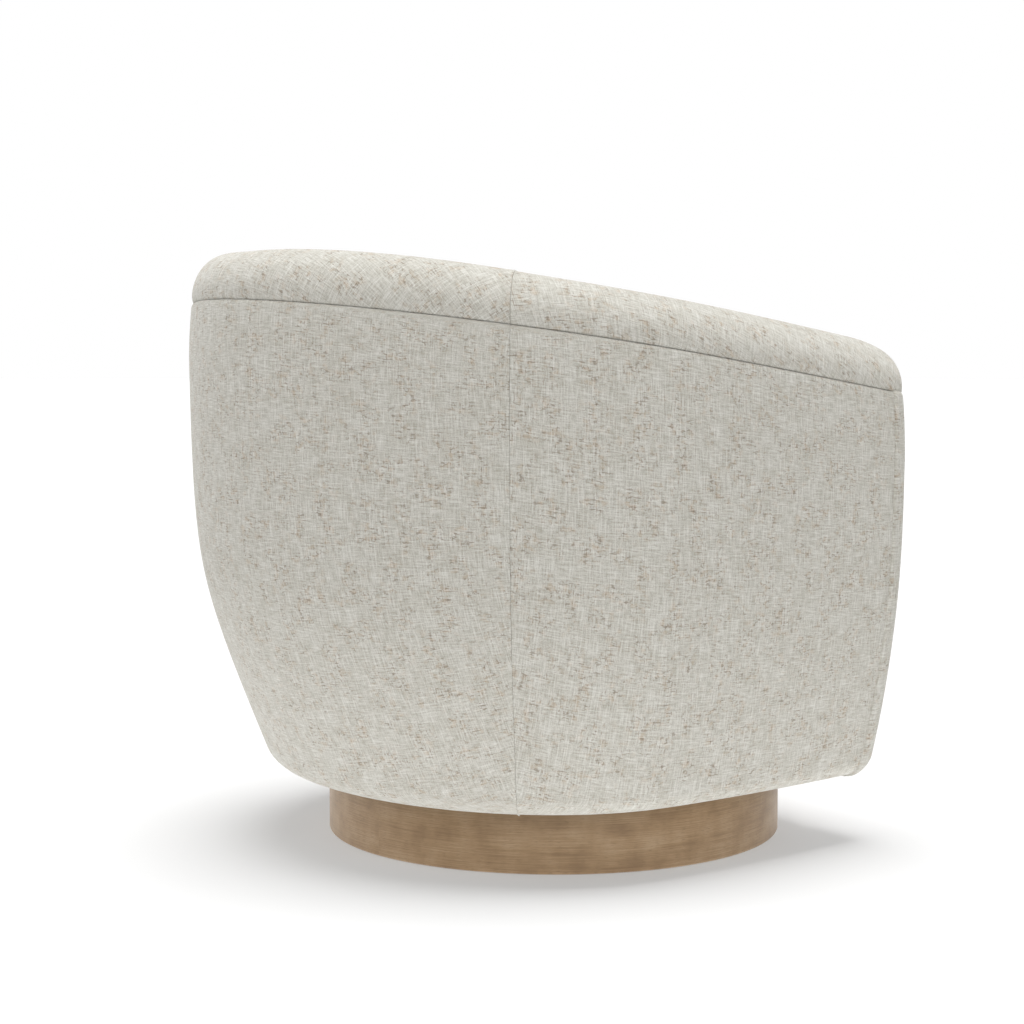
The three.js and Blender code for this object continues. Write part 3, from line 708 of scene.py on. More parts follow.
@dataclass(frozen=True)
class Outline:
    """Shape of the body from above, and how it draws in towards the floor."""

    axis_y: float = -0.0725
    back_radius: float = 0.387
    bend_y: float = 0.065
    front_reach: float = 0.305
    front_half_width: float = 0.319
    arm_curve_power: float = 1.43
    seam_run: float = 0.662
    seam_side: float = 1.3386
    seam_gap: float = 0.00012
    bottom_z: float = 0.083
    taper_top_z: float = 0.660
    seam_z: float = 0.5856
    seam_slope: float = 0.148
    side_taper: float = 0.045
    back_taper: float = 0.109
    front_taper: float = 0.0205
    front_taper_power: float = 6.0
    bend_share: float = 0.583
    blend_share: float = 0.166
    wall: float = 0.104
    front_pad: float = 0.031
    fold_shares: tuple[float, ...] = (0, 0.12, 0.35, 0.65, 1.0)

    def depth_share(self, z: Values) -> Values:
        """Share of the way down from where the outline starts to draw in."""
        return np.clip((self.taper_top_z - z) / (self.taper_top_z - self.bottom_z), 0, 1)

    def taper_share(self, z: Values) -> Values:
        """Share of the whole taper that is reached at a height.

        Args:
            z: Height.

        Returns:
            The share, from 0 at the top to 1 at the bottom edge.
        """

        def bend(share: Values) -> Values:
            """Two straight slopes with a soft bend between them."""
            return np.hypot(share - self.bend_share, self.blend_share) + share - self.bend_share

        return (bend(self.depth_share(z)) - bend(0.0)) / (bend(1.0) - bend(0.0))

    def front_at(self, z: Values) -> Values:
        """How far the front lies before the swivel axis at a height."""
        return self.front_reach - self.front_taper * self.depth_share(z) ** self.front_taper_power

    def arm_x(self, y: Values, z: Values, inset: Values) -> Values:
        """Distance of the arm's side from the middle plane.

        Args:
            y: Place along the arm, from the swivel axis.
            z: Height.
            inset: Distance in from the outside.

        Returns:
            The distance along X.
        """
        forward = np.maximum(self.bend_y - y, 0) / (self.bend_y + self.front_reach)
        narrowing = (self.back_radius - self.front_half_width) * forward**self.arm_curve_power
        return self.back_radius - self.side_taper * self.taper_share(z) - inset - narrowing

    def seam_at(self, z: Values, inset: Values) -> Values:
        """Share of a quarter turn at which an upright plane through the swivel axis meets the wall.

        Args:
            z: Height.
            inset: Distance in from the outside.

        Returns:
            The share, 0 at the middle of the back.
        """
        across = self.arm_x(self.bend_y + 0 * z, z, inset)
        deep = (self.back_radius - self.back_taper * self.taper_share(z) - inset) * self.seam_side
        offset = np.arcsin(self.seam_side * self.bend_y / np.hypot(across, deep))
        return (offset + np.arctan2(deep, across)) / (math.pi / 2)

    def point(self, run: Values, z: Values, inset: Values) -> Array:
        """Points on the wall, in the part's frame.

        Args:
            run: 0 at the middle of the back, 1 at the side, 2 at the end of the arm, negative left.
            z: Height.
            inset: Distance in from the outside.

        Returns:
            X, Y and Z in the last axis.
        """
        run, z, inset = np.broadcast_arrays(run, z, inset)
        along = np.abs(run)
        seam = self.seam_at(z, inset)
        behind = along * seam / self.seam_run
        before = 2 - (2 - along) * (2 - seam) / (2 - self.seam_run)
        along = np.where(along < self.seam_run, behind, before)
        angle = np.minimum(along, 1) * math.pi / 2
        end_y = self.front_pad - self.front_at(z)
        reach = self.back_radius - self.back_taper * self.taper_share(z) - inset
        y_back = self.bend_y + np.cos(angle) * reach
        y_arm = self.bend_y - (along - 1) * (self.bend_y - end_y)
        y = np.where(along > 1, y_arm, y_back)
        x_back = np.sin(angle) * self.arm_x(self.bend_y + 0 * z, z, inset)
        x = np.where(along > 1, self.arm_x(y, z, inset), x_back)
        return np.stack([np.sign(run) * x, y + self.axis_y, z + 0 * x], axis=-1)

    def seam_plane(self, y: Values) -> Values:
        """Height of the seam under the cap. y is in the part's frame."""
        return self.seam_z + self.seam_slope * (y - self.axis_y)

    def seam_height(self, run: Values, inset: Values) -> Values:
        """Height of the seam under the cap at a run and an inset."""
        return self.seam_plane(self.point(run, self.taper_top_z, inset)[..., 1])

    def edge_runs(self, start: float, end: float, count: int, fold: float) -> Array:
        """Runs from one seam to another, with close ones where the cloth folds into a seam.

        Args:
            start: First run.
            end: Last run.
            count: Number of even steps.
            fold: Length of the fold, as a run.

        Returns:
            The runs in order.
        """
        close = fold * np.array(self.fold_shares)
        middle = np.linspace(start + fold, end - fold, count + 1)[1:-1]
        return np.concatenate([start + close, middle, end - close[::-1]])

    def thirds(self, gap: float, front: float = 2.0) -> dict[str, tuple[float, float]]:
        """Back, left arm and right arm, parted at the upright seams.

        Args:
            gap: Run left open on each side of a seam.
            front: Run at which the arms end.

        Returns:
            The first and last run of each, by its word in node names.
        """
        seam = self.seam_run
        return {
            "back": (gap - seam, seam - gap),
            "left": (-front, -seam - gap),
            "right": (seam + gap, front),
        }


OUTLINE = Outline()


def rounded(distance: Values, radius: float) -> Values:
    """Depth below a surface of an edge rounded with a radius, at a distance from the edge."""
    left = np.clip(radius - distance, 0, radius)
    return radius - np.sqrt(np.maximum(radius**2 - left**2, 0))


# Plinth and swivel


@dataclass
class Plinth:
    """Round wooden base with its panel, blocks and glides, which stand still."""

    radius: float = 0.280
    wall: float = 0.020
    floor_gap: float = 0.0008
    top_z: float = 0.076
    bottom_edge: float = 0.0035
    top_edge: float = 0.002
    sides: int = 256
    joint_angle: float = math.radians(102)
    level_slack: float = 0.1

    def ring(self) -> Object:
        """Builds the bent-wood ring.

        Returns:
            The ring.
        """
        centre = (0, OUTLINE.axis_y, self.floor_gap)
        bpy.ops.mesh.primitive_circle_add(vertices=self.sides, radius=self.radius, location=centre)
        ring = added("plinth_veneered_ring")
        bpy.ops.object.transform_apply(location=True)
        height = self.top_z - self.floor_gap
        inner_share = (self.radius - self.wall) / self.radius

        def draw_in() -> None:
            """Extrudes the top edge inwards to the inner wall."""
            bpy.ops.mesh.extrude_region_move()
            bpy.ops.transform.resize(
                value=(inner_share, inner_share, 1), center_override=(0, OUTLINE.axis_y, self.top_z)
            )

        def level_at(z: float, least_reach: float) -> Test:
            """Makes a test for level edges that run round the ring.

            Args:
                z: Their height, to a millimetre.
                least_reach: Their least distance from the axis.

            Returns:
                The test.
            """

            def is_level(middle: Vector, run: Vector) -> bool:
                """Says whether an edge is one of them.

                Args:
                    middle: The edge's middle.
                    run: Its direction, of length 1.

                Returns:
                    Whether it passes.
                """
                arm = Vector((middle.x, middle.y - OUTLINE.axis_y, 0))
                off_level = max(abs(run.z), abs(run.dot(arm.normalized())))
                on_ring = abs(middle.z - z) < MM and arm.length > least_reach
                return on_ring and off_level < self.level_slack

            return is_level

        outside = self.radius - 1.5 * MM
        edit(
            ring,
            lambda: bpy.ops.mesh.select_all(action="SELECT"),
            lambda: bpy.ops.mesh.extrude_region_move(TRANSFORM_OT_translate={"value": (0, 0, height)}),
            draw_in,
            lambda: bpy.ops.mesh.extrude_region_move(TRANSFORM_OT_translate={"value": (0, 0, -height)}),
            pick(ring, "EDGE", level_at(self.floor_gap, 0.0)),
            lambda: bpy.ops.mesh.bridge_edge_loops(),
        )
        edit(
            ring,
            face_outwards,
            pick(ring, "EDGE", level_at(self.floor_gap, outside)),
            lambda: bpy.ops.mesh.bevel(offset=self.bottom_edge, segments=5, affect="EDGES"),
            pick(ring, "EDGE", level_at(self.top_z, outside)),
            lambda: bpy.ops.mesh.bevel(offset=self.top_edge, segments=3, affect="EDGES"),
        )
        self._grain_map(ring)
        bpy.ops.object.shade_smooth_by_angle(angle=math.radians(40))
        return ring

    def _grain_map(self, ring: Object) -> None:
        """Runs the veneer round the ring from its joint.

        Args:
            ring: The piece.
        """
        corners, face = corners_of(ring)
        point = coordinates(ring)[corners]
        angle = np.arctan2(point[:, 1] - OUTLINE.axis_y, point[:, 0]) - self.joint_angle
        angle = np.mod(angle, 2 * math.pi)
        middle = np.bincount(face, angle) / np.bincount(face)
        # A face across the joint has corners at both ends of the turn
        high = 0 * middle
        np.maximum.at(high, face, angle)
        wraps = (high - middle > math.pi / 2)[face]
        angle = np.where(wraps & (angle < math.pi), angle + 2 * math.pi, angle)
        reach = np.hypot(point[:, 0], point[:, 1] - OUTLINE.axis_y)
        set_cloth_map(ring, np.stack([angle * self.radius, point[:, 2] - (reach - self.radius)], axis=1))

    def dress(self) -> None:
        """Builds and dresses the pieces of the base."""
        finish_piece(self.ring(), VENEER, Slot.VENEER, Body.BASE, "plinth_ring")
        dress_nodes(PLYWOOD, "plinth_panel", *(f"plinth_block_{k}" for k in range(1, 5)))
        dress_nodes(NYLON, *(f"glide_{k}" for k in range(1, 5)))


def dress_nodes(material: Material, *names: str) -> None:
    """Gives CAD nodes that stay a better material.

    Args:
        material: The material.
        names: Their names.
    """
    for name in names:
        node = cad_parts[name]
        for slot in node.material_slots:
            slot.material = material
        log.info("%s: kept, %s", name, material.name)


@dataclass
class Swivel:
    """Ball-bearing swivel: two stamped plates, the ring of balls, the rivet and the screws."""

    screw_count: int = 4

    def dress(self) -> None:
        """Dresses the swivel's pieces."""
        dress_nodes(STAMPED_STEEL, "swivel_lower_plate", "swivel_upper_plate")
        dress_nodes(ZINC, "ball_ring", "swivel_rivet")
        numbers = range(1, self.screw_count + 1)
        dress_nodes(ZINC, *(f"plinth_screw_{k}" for k in numbers), *(f"board_screw_{k}" for k in numbers))


@dataclass
class SeatFrame:
    """Plywood frame with its springs, webbing and stiff boards, all under the cloth."""

    webbing_inset: float = 0.0573
    webbing_thickness: float = 0.0013
    webbing_width: float = 0.050
    webbing_dip: float = 0.0004
    webbing_columns: int = 81
    webbing_rows: int = 9
    spring_count: int = 4
    webbing_count: int = 2

    def webbing(self, number: int) -> Object:
        """Builds one elastic strap across the inside of the back.

        Args:
            number: 1 or 2, from the bottom.

        Returns:
            The strap.
        """
        low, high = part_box(f"back_webbing_{number}")
        middle = (low.z + high.z) / 2
        edge = OUTLINE.seam_run - 4 * OUTLINE.seam_gap
        runs = np.linspace(-edge, edge, self.webbing_columns)[:, None]
        levels = np.linspace(-0.5, 0.5, self.webbing_rows)[None, :] * self.webbing_width + middle
        # A taut strap dips a little at its two edges, where the weave is denser
        dip = self.webbing_dip * (2 * np.abs(levels - middle) / self.webbing_width) ** 4
        points = OUTLINE.point(runs, levels, self.webbing_inset + dip)
        strap = cloth_grid(f"back_webbing_strap_{number}", points, developed(points))
        apply_modifier(strap, "SOLIDIFY", thickness=self.webbing_thickness, offset=-1)
        return strap

    def dress(self) -> None:
        """Builds and dresses the pieces of the frame."""
        posts = ["post_back"] + [
            f"post_{place}_{side.word}" for place in ("rear", "arm", "front") for side in Side
        ]
        rails = ["top_rail"] + [f"seat_rail_{place}" for place in ("front", "back", "left", "right")]
        dress_nodes(PLYWOOD, "base_board", *posts, *rails)
        dress_nodes(SPRING_STEEL, *(f"seat_spring_{k}" for k in range(1, self.spring_count + 1)))
        dress_nodes(BOARD, *(f"outer_board_{place}" for place in ("back", "left", "right")))
        for number in range(1, self.webbing_count + 1):
            finish_piece(self.webbing(number), ELASTIC, Slot.ELASTIC, Body.SEAT, f"back_webbing_{number}")


# Cloth and padding


@dataclass
class OutsideCovers:
    """Outside covers of back and arms, which meet at the upright seams and turn under the frame."""

    thickness: float = 0.0026
    groove_depth: float = 0.0045
    groove_reach: float = 0.080
    top_radius: float = 0.0066
    top_start: float = 0.29
    seam_radius: float = 0.0005
    seam_depth: float = 0.0007
    bottom_radius: float = 0.021
    flap_reach: float = 0.047
    top_shares: tuple[float, ...] = (0, 0.0006, 0.0015, 0.003, 0.005, 0.0085, 0.014)
    level_start: float = 0.975
    back_steps: int = 110
    arm_steps: int = 90
    level_steps: int = 56
    turn_steps: int = 10
    flap_steps: int = 5

    def section(self, top: Values, deepest: float = math.inf) -> tuple[Array, Array, Array]:
        """Section of a cover from its top edge down to the end of its flap.

        Args:
            top: Height of the top edge.
            deepest: Greatest inset of the flap under the frame.

        Returns:
            For each row: share of the height above the bottom edge, height, and distance in from
            the outside.
        """
        near_top = 1 - np.array(self.top_shares)
        shares = np.concatenate([near_top, np.linspace(self.level_start, 0, self.level_steps)])
        turn = np.linspace(0, math.pi / 2, self.turn_steps)[1:]
        edge_inset = self.bottom_radius * (1 - np.cos(turn))
        edge_height = self.bottom_radius * (1 - np.sin(turn))
        flap = np.linspace(self.bottom_radius, self.flap_reach, self.flap_steps)[1:]
        inset = np.concatenate([0 * shares, edge_inset, flap])
        height = np.concatenate([0 * shares, edge_height, 0 * flap])
        share = np.concatenate([shares, 0 * edge_inset, 0 * flap])
        on_face = np.arange(len(share)) < len(shares)
        floor = OUTLINE.bottom_z + self.bottom_radius
        z = np.where(on_face, floor + (top - floor) * share, OUTLINE.bottom_z + height)
        below = np.where(on_face, top - z, 1.0)
        groove = self.groove_depth * np.maximum(1 - below / self.groove_reach, 0) ** 2
        lip = rounded(below + self.top_start * self.top_radius, self.top_radius)
        return share, z, np.minimum(inset, deepest) + groove + lip

    def surface(self, runs: Array, fold: Array) -> Array:
        """Lays the cover on the wall.

        Args:
            runs: The columns' runs.
            fold: How deep each column lies in a seam.

        Returns:
            A grid of points.
        """
        run = runs[:, None]
        _, z, depth = self.section(OUTLINE.seam_height(run, self.groove_depth) - HAIR)
        return OUTLINE.point(run, z, depth + fold[:, None])

    def cover(self, name: str, start: float, end: float, steps: int) -> Object:
        """Builds one cover between two runs.

        Args:
            name: The piece's name.
            start: Its first run.
            end: Its last run.
            steps: Number of columns.

        Returns:
            The cover.
        """
        scale = OUTLINE.back_radius * math.pi / 2
        runs = OUTLINE.edge_runs(start, end, steps, self.seam_radius / scale)
        distance = np.minimum(runs - start, end - runs) * scale
        fold = rounded(distance, self.seam_radius)
        runs = np.concatenate([[start], runs, [end]])
        fold = np.concatenate([[self.seam_depth], fold, [self.seam_depth]])
        points = self.surface(runs, fold)[::-1]
        obj = cloth_grid(name, points[:, ::-1], developed(points[:, ::-1]))
        apply_modifier(obj, "SOLIDIFY", thickness=self.thickness, offset=-1)
        return obj

    def dress(self) -> None:
        """Builds and dresses the three covers."""
        for place, (start, end) in OUTLINE.thirds(OUTLINE.seam_gap).items():
            steps = self.back_steps if place == "back" else self.arm_steps
            obj = self.cover(f"outside_cover_{place}", start, end, steps)
            finish_piece(obj, LINEN, Slot.LINEN, Body.SEAT, f"outside_{place}", fill=1.0)


@dataclass
class CapRoll:
    """Padded roll on top of back and arms, in three lengths joined at seams."""

    edge_insets: tuple[float, float] = (0.0048, 0.0025)
    lip_radius: float = 0.0066
    lip_start: float = math.radians(45)
    lip_tuck: float = 0.0018
    lip_reach: float = 0.014
    wall_height: float = 0.0048
    shoulder_widths: tuple[float, float] = (0.051, 0.0457)
    shoulder_rise: float = 0.0551
    rise_gain: float = 0.11
    nose_reach: float = 0.075
    nose_power: float = 2.0
    nose_bluntness: float = 0.165
    full_runs: tuple[float, ...] = (0, 0.18, 0.33, 0.46, 0.57, 0.66, 0.665, 0.80, 0.91, 1.06, 1.3)
    fullness: tuple[float, ...] = (
        *(-0.0008, 0.0016, 0.0026, 0.0026, 0.0018, 0.0008),
        *(-0.0002, -0.001, -0.001, -0.0005, 0),
    )
    corner_radius: float = 0.028
    seam_radius: float = 0.0009
    ridge_height: float = 0.0005
    ridge_reach: float = 0.0035
    fold_shares: tuple[float, ...] = (0, 0.08, 0.25, 0.5, 1.0, 1.5, 2.5, 4.0)
    arm_grain: float = math.radians(75)
    nose_facing: float = -0.55
    nose_setback: float = 0.0003
    lip_steps: int = 6
    section_steps: int = 18
    back_steps: int = 110
    arm_steps: int = 80
    nose_steps: int = 26

    def section(self, width: float) -> Array:
        """Half of the section, from the lip to the middle of the top.

        Args:
            width: Width of the rounded shoulder.

        Returns:
            Rows of inset, height that does not change, and share of the shoulder's rise.
        """
        rows = []
        for a in np.linspace(self.lip_start, math.pi / 2, self.lip_steps):
            height = math.cos(self.lip_start) - math.cos(a)
            rows.append((self.lip_radius * (1 - math.sin(a)), self.lip_radius * height, 0.0))
        for a in np.linspace(0, math.pi / 2, self.section_steps):
            rows.append((width * (1 - math.cos(a)), self.wall_height, math.sin(a)))
        return np.array(rows)

    def rise_at(self, from_front: float) -> float:
        """Height of the shoulder, which falls off round the nose.

        Args:
            from_front: Distance from the front of the arm.

        Returns:
            The height.
        """
        share = min(from_front / self.nose_reach, 1)
        fall = (1 - (1 - share) ** self.nose_power) ** self.nose_bluntness
        behind_axis = from_front - OUTLINE.front_reach
        return self.shoulder_rise * fall * (1 + self.rise_gain * behind_axis)

    def ring(
        self, at: Callable[[Array], Array], run: float, from_front: float, seam: float
    ) -> Array:
        """One closed ring of the roll.

        Args:
            at: Gives a point of the part's frame, at any height, for an inset.
            run: Its run.
            from_front: Distance from the front of the arm.
            seam: Distance from the nearest seam across the roll.

        Returns:
            The ring's points, from the outer lip over the top and back underneath.
        """
        corner = float(rounded(from_front, self.corner_radius))
        facing = max(self.corner_radius - from_front, 0) / self.corner_radius
        sideways = math.sqrt(max(1 - facing**2, 0))
        narrow = 1 - 2 * corner / OUTLINE.wall
        rise = self.rise_at(from_front) + float(np.interp(abs(run), self.full_runs, self.fullness))
        # The cloth folds down into the seam between two low ridges, made by the hems inside
        ridge = self.ridge_height * math.exp(-((seam / self.ridge_reach) ** 2))
        fold = float(rounded(seam, self.seam_radius)) - ridge
        halves = []
        for number, (edge, width) in enumerate(zip(self.edge_insets, self.shoulder_widths)):
            rows = self.section(width)
            on_lip = rows[:, 2] == 0
            height = rows[:, 1] + (rise - fold) * rows[:, 2]
            inset = edge + self.lip_tuck * np.maximum(1 - height / self.lip_reach, 0) ** 2
            inset = inset + rows[:, 0] * np.where(on_lip, sideways, 1.0)
            inset = corner + fold * (1 - rows[:, 2]) + inset * narrow
            half = at(OUTLINE.wall - inset if number else inset)
            half[:, 1] += rows[:, 0] * on_lip * (1 - sideways)
            half[:, 2] = OUTLINE.seam_plane(half[:, 1]) + HAIR + height
            halves.append(half)
        outer, inner = halves
        return np.concatenate([outer, inner[::-1], outer[:1]])

    def rings_of(self, start: float, end: float, steps: int, nose: Side | None) -> Array:
        """All rings of one length of the roll.

        Args:
            start: Its first run, which is nearer the back for an arm.
            end: Its last run.
            steps: Number of rings on the wall.
            nose: The side of the arm whose nose it ends in, if any.

        Returns:
            The rings, as a grid of points.
        """
        scale = OUTLINE.back_radius * math.pi / 2
        closest = math.copysign(self.seam_radius / scale, end - start)
        close = closest * np.array(self.fold_shares)
        tail = np.array([end]) if nose else end - close[::-1]
        middle = np.linspace(start + close[-1], tail[0], steps)[1:-1]
        runs = np.concatenate([start + close, middle, tail])
        from_start = np.abs(runs - start) * scale
        from_end = np.abs(end - runs) * scale if nose is None else 1.0 + 0 * runs
        rings = []
        for run, seam in zip(runs, np.minimum(from_start, from_end)):

            def at(inset: Array, run: float = run) -> Array:
                """Points of the wall at this run."""
                return OUTLINE.point(run, OUTLINE.taper_top_z, inset).copy()

            front = float(at(np.array([0.0]))[0, 1]) - OUTLINE.axis_y + OUTLINE.front_reach
            rings.append(self.ring(at, run, front, float(seam)))
        if nose is not None:
            for angle in np.linspace(0, math.pi / 2, self.nose_steps)[1:]:
                front = OUTLINE.front_pad * (1 - math.sin(angle)) + self.nose_setback
                y = front - OUTLINE.front_reach

                def at_nose(inset: Array, y: float = y) -> Array:
                    """Points in front of the wall's end."""
                    x = nose.value * OUTLINE.arm_x(y, OUTLINE.taper_top_z, inset)
                    return np.stack([x, 0 * x + y + OUTLINE.axis_y, 0 * x], axis=-1)

                rings.append(self.ring(at_nose, end, front, 1.0))
        return np.array(rings)

    def flat_cut(self, points: Array, grain: float) -> Array:
        """Lays the roll out as the curved band of flat cloth that it was cut from.

        Args:
            points: Its rings.
            grain: Angle of the cloth's warp from the Y axis, towards +X.

        Returns:
            The place of each point on the flat cloth.
        """
        crest = len(self.section(0.0)) - 1
        top = points[:, crest]
        steps = np.diff(top, axis=0)
        heading = steps[:, :2] / np.linalg.norm(steps[:, :2], axis=1, keepdims=True)
        forward = heading * np.linalg.norm(steps, axis=1, keepdims=True)
        place = np.concatenate([top[:1, :2], top[0, :2] + np.cumsum(forward, axis=0)])
        outward = points[:, 0, :2] - top[:, :2]
        outward /= np.linalg.norm(outward, axis=1, keepdims=True)
        along = np.linalg.norm(np.diff(points, axis=1), axis=2)
        across = np.concatenate([0 * along[:, :1], np.cumsum(along, axis=1)], axis=1)
        across = across[:, crest : crest + 1] - across
        flat = place[:, None, :] + outward[:, None, :] * across[:, :, None]
        cos, sin = math.cos(grain), math.sin(grain)
        u = flat[..., 0] * cos - flat[..., 1] * sin
        v = flat[..., 0] * sin + flat[..., 1] * cos
        return np.stack([u, v], axis=-1)

    def length(self, name: str, start: float, end: float, steps: int, nose: Side | None) -> Object:
        """Builds one length of the roll as a closed form.

        Args:
            name: The piece's name.
            start: Its first run.
            end: Its last run.
            steps: Number of rings on the wall.
            nose: The side of the arm whose nose it ends in, if any.

        Returns:
            The length of roll.
        """
        points = self.rings_of(start, end, steps, nose)
        grain = nose.value * self.arm_grain if nose else 0.0
        obj = cloth_grid(name, points, self.flat_cut(points, grain))
        edit(obj, merge, close_ends, face_outwards)
        if nose is not None:
            self.face_the_nose(obj)
        bpy.ops.object.shade_smooth_by_angle(angle=math.radians(50))
        return obj

    def face_the_nose(self, obj: Object) -> None:
        """Lays the cloth straight on the front of a nose, which is a panel of its own.

        Args:
            obj: The length of roll.
        """
        corners, face = corners_of(obj)
        uv = np.empty(len(corners) * 2)
        obj.data.uv_layers[UV_NAME].data.foreach_get("uv", uv)
        facing = np.array([polygon.normal.y < self.nose_facing for polygon in obj.data.polygons])
        place = coordinates(obj)[corners]
        rear = OUTLINE.axis_y - OUTLINE.front_reach + OUTLINE.front_pad
        panel = facing[face] & (place[:, 1] < rear)
        set_cloth_map(obj, np.where(panel[:, None], place[:, [0, 2]], uv.reshape(-1, 2)))

    def dress(self) -> None:
        """Builds and dresses the three lengths."""
        noses = {"left": Side.LEFT, "right": Side.RIGHT}
        for place, (start, end) in OUTLINE.thirds(OUTLINE.seam_gap).items():
            nose = noses.get(place)
            steps = self.arm_steps if nose else self.back_steps
            if nose is Side.LEFT:
                start, end = end, start
            obj = self.length(f"cap_roll_{place}", start, end, steps, nose)
            finish_piece(obj, LINEN, Slot.LINEN, Body.SEAT, f"cap_{place}", fill=0.9)


@dataclass
class ArmFronts:
    """Padded fronts of the arms, sewn to the outside covers just behind the corner."""

    covers: OutsideCovers
    corner_radius: float = 0.028
    depth: float = 0.0305
    flap_inset: float = 0.027
    corner_lift: float = 0.010
    corner_reach: float = 0.060
    corner_steps: int = 10
    face_steps: int = 12
    rear_steps: tuple[float, ...] = (0.004, 0.0, -0.0006, -0.0015)
    rear_tucks: tuple[float, ...] = (0.004, 0.0022, 0.0008, 0.0)

    def plan(self, inset: Array) -> tuple[Array, Array]:
        """Plan of the front from its outer rear edge round to its inner rear edge.

        Args:
            inset: Offset inwards of each row.

        Returns:
            Distance in from the outside, and distance from the front.
        """
        radius = np.maximum(self.corner_radius - inset, MM)
        turn = np.linspace(0, math.pi / 2, self.corner_steps)[:, None]
        side = self.corner_radius - radius * np.cos(turn)
        front = self.corner_radius - radius * np.sin(turn)
        rear = self.depth + np.array(self.rear_steps)[:, None]
        tuck = np.array(self.rear_tucks)[:, None]
        across = np.linspace(self.corner_radius, OUTLINE.wall - self.corner_radius, self.face_steps)
        across = across[1:-1, None]
        half_side = np.concatenate([inset + tuck, side])
        half_front = np.concatenate([rear + 0 * inset, front])
        sides = np.concatenate([half_side, across + 0 * inset, OUTLINE.wall - half_side[::-1]])
        fronts = np.concatenate([half_front, inset + 0 * across, half_front[::-1]])
        return sides, fronts

    def front(self, side: Side) -> Object:
        """Builds the front of one arm.

        Args:
            side: Which arm.

        Returns:
            The padded front.
        """
        top = OUTLINE.seam_plane(OUTLINE.axis_y - OUTLINE.front_reach) - HAIR
        share, z, inset = self.covers.section(top, self.flap_inset)
        sides, fronts = self.plan(inset[None, :])
        # The bottom edge rises towards the front corner, as the cloth is drawn round it
        forward = np.clip(1 - fronts / self.depth, 0, 1) ** 1.5
        near_bottom = np.clip(1 - (z - OUTLINE.bottom_z) / self.corner_reach, 0, 1) ** 2
        heights = z[None, :] + self.corner_lift * forward * near_bottom[None, :]
        y = fronts - OUTLINE.front_at(heights)
        # The top edge follows the slope of the seam plane
        lift = OUTLINE.seam_slope * (y + OUTLINE.front_reach) * share**3
        x = side.value * OUTLINE.arm_x(y, heights, sides)
        points = np.stack([x, y + OUTLINE.axis_y, heights + lift], axis=2)
        if side is Side.LEFT:
            points = points[::-1]
        points = points[:, ::-1]
        obj = cloth_grid(f"arm_front_pad_{side.word}", points, developed(points))
        apply_modifier(obj, "SOLIDIFY", thickness=self.covers.thickness, offset=-1)
        return obj

    def dress(self) -> None:
        """Builds and dresses both fronts."""
        for side in Side:
            obj = self.front(side)
            finish_piece(obj, LINEN, Slot.LINEN, Body.SEAT, f"arm_front_{side.word}", fill=0.9)


@dataclass
class InsidePads:
    """Inside padding of back and arms, from behind the cushion up to the seam under the cap."""

    low_z: float = 0.2802
    outer_inset: float = 0.0594
    bulge: float = 0.006
    groove_depth: float = 0.003
    top_play: float = 0.0004
    radius: float = 0.007
    front_run: float = 1.999
    counts: tuple[int, int, int] = (56, 2, 22)

    def pad(self, name: str, start: float, end: float) -> Object:
        """Builds one pad between two runs.

        Args:
            name: The piece's name.
            start: Its first run.
            end: Its last run.

        Returns:
            The pad.
        """
        wide = OUTLINE.back_radius - OUTLINE.wall
        length = (end - start) * wide * math.pi / 2
        thick = OUTLINE.wall - self.outer_inset
        high = float(OUTLINE.seam_z) - self.low_z

        def place(straight: Array) -> Array:
            """Bends the straight pad round the wall.

            Args:
                straight: Places in the straight pad.

            Returns:
                Their places on the chair.
            """
            along, out, up = (straight / (length, thick, high) + 0.5).T
            run = start + (end - start) * along
            share = np.clip(up, 0, 1)
            bulge = self.bulge * np.sin(math.pi * share) - self.groove_depth * share**6
            inset = self.outer_inset + (thick + bulge) * out
            top = OUTLINE.seam_height(run, inset) - self.top_play
            return OUTLINE.point(run, self.low_z + (top - self.low_z) * up, inset)

        return PaddedBlock((length, thick, high), self.radius, self.counts).make(name, place)

    def dress(self) -> None:
        """Builds and dresses the three pads."""
        for place, (start, end) in OUTLINE.thirds(2 * OUTLINE.seam_gap, self.front_run).items():
            obj = self.pad(f"inside_pad_{place}", start, end)
            edit(obj, face_outwards)
            finish_piece(obj, LINEN, Slot.LINEN, Body.SEAT, f"inside_{place}", fill=0.8)


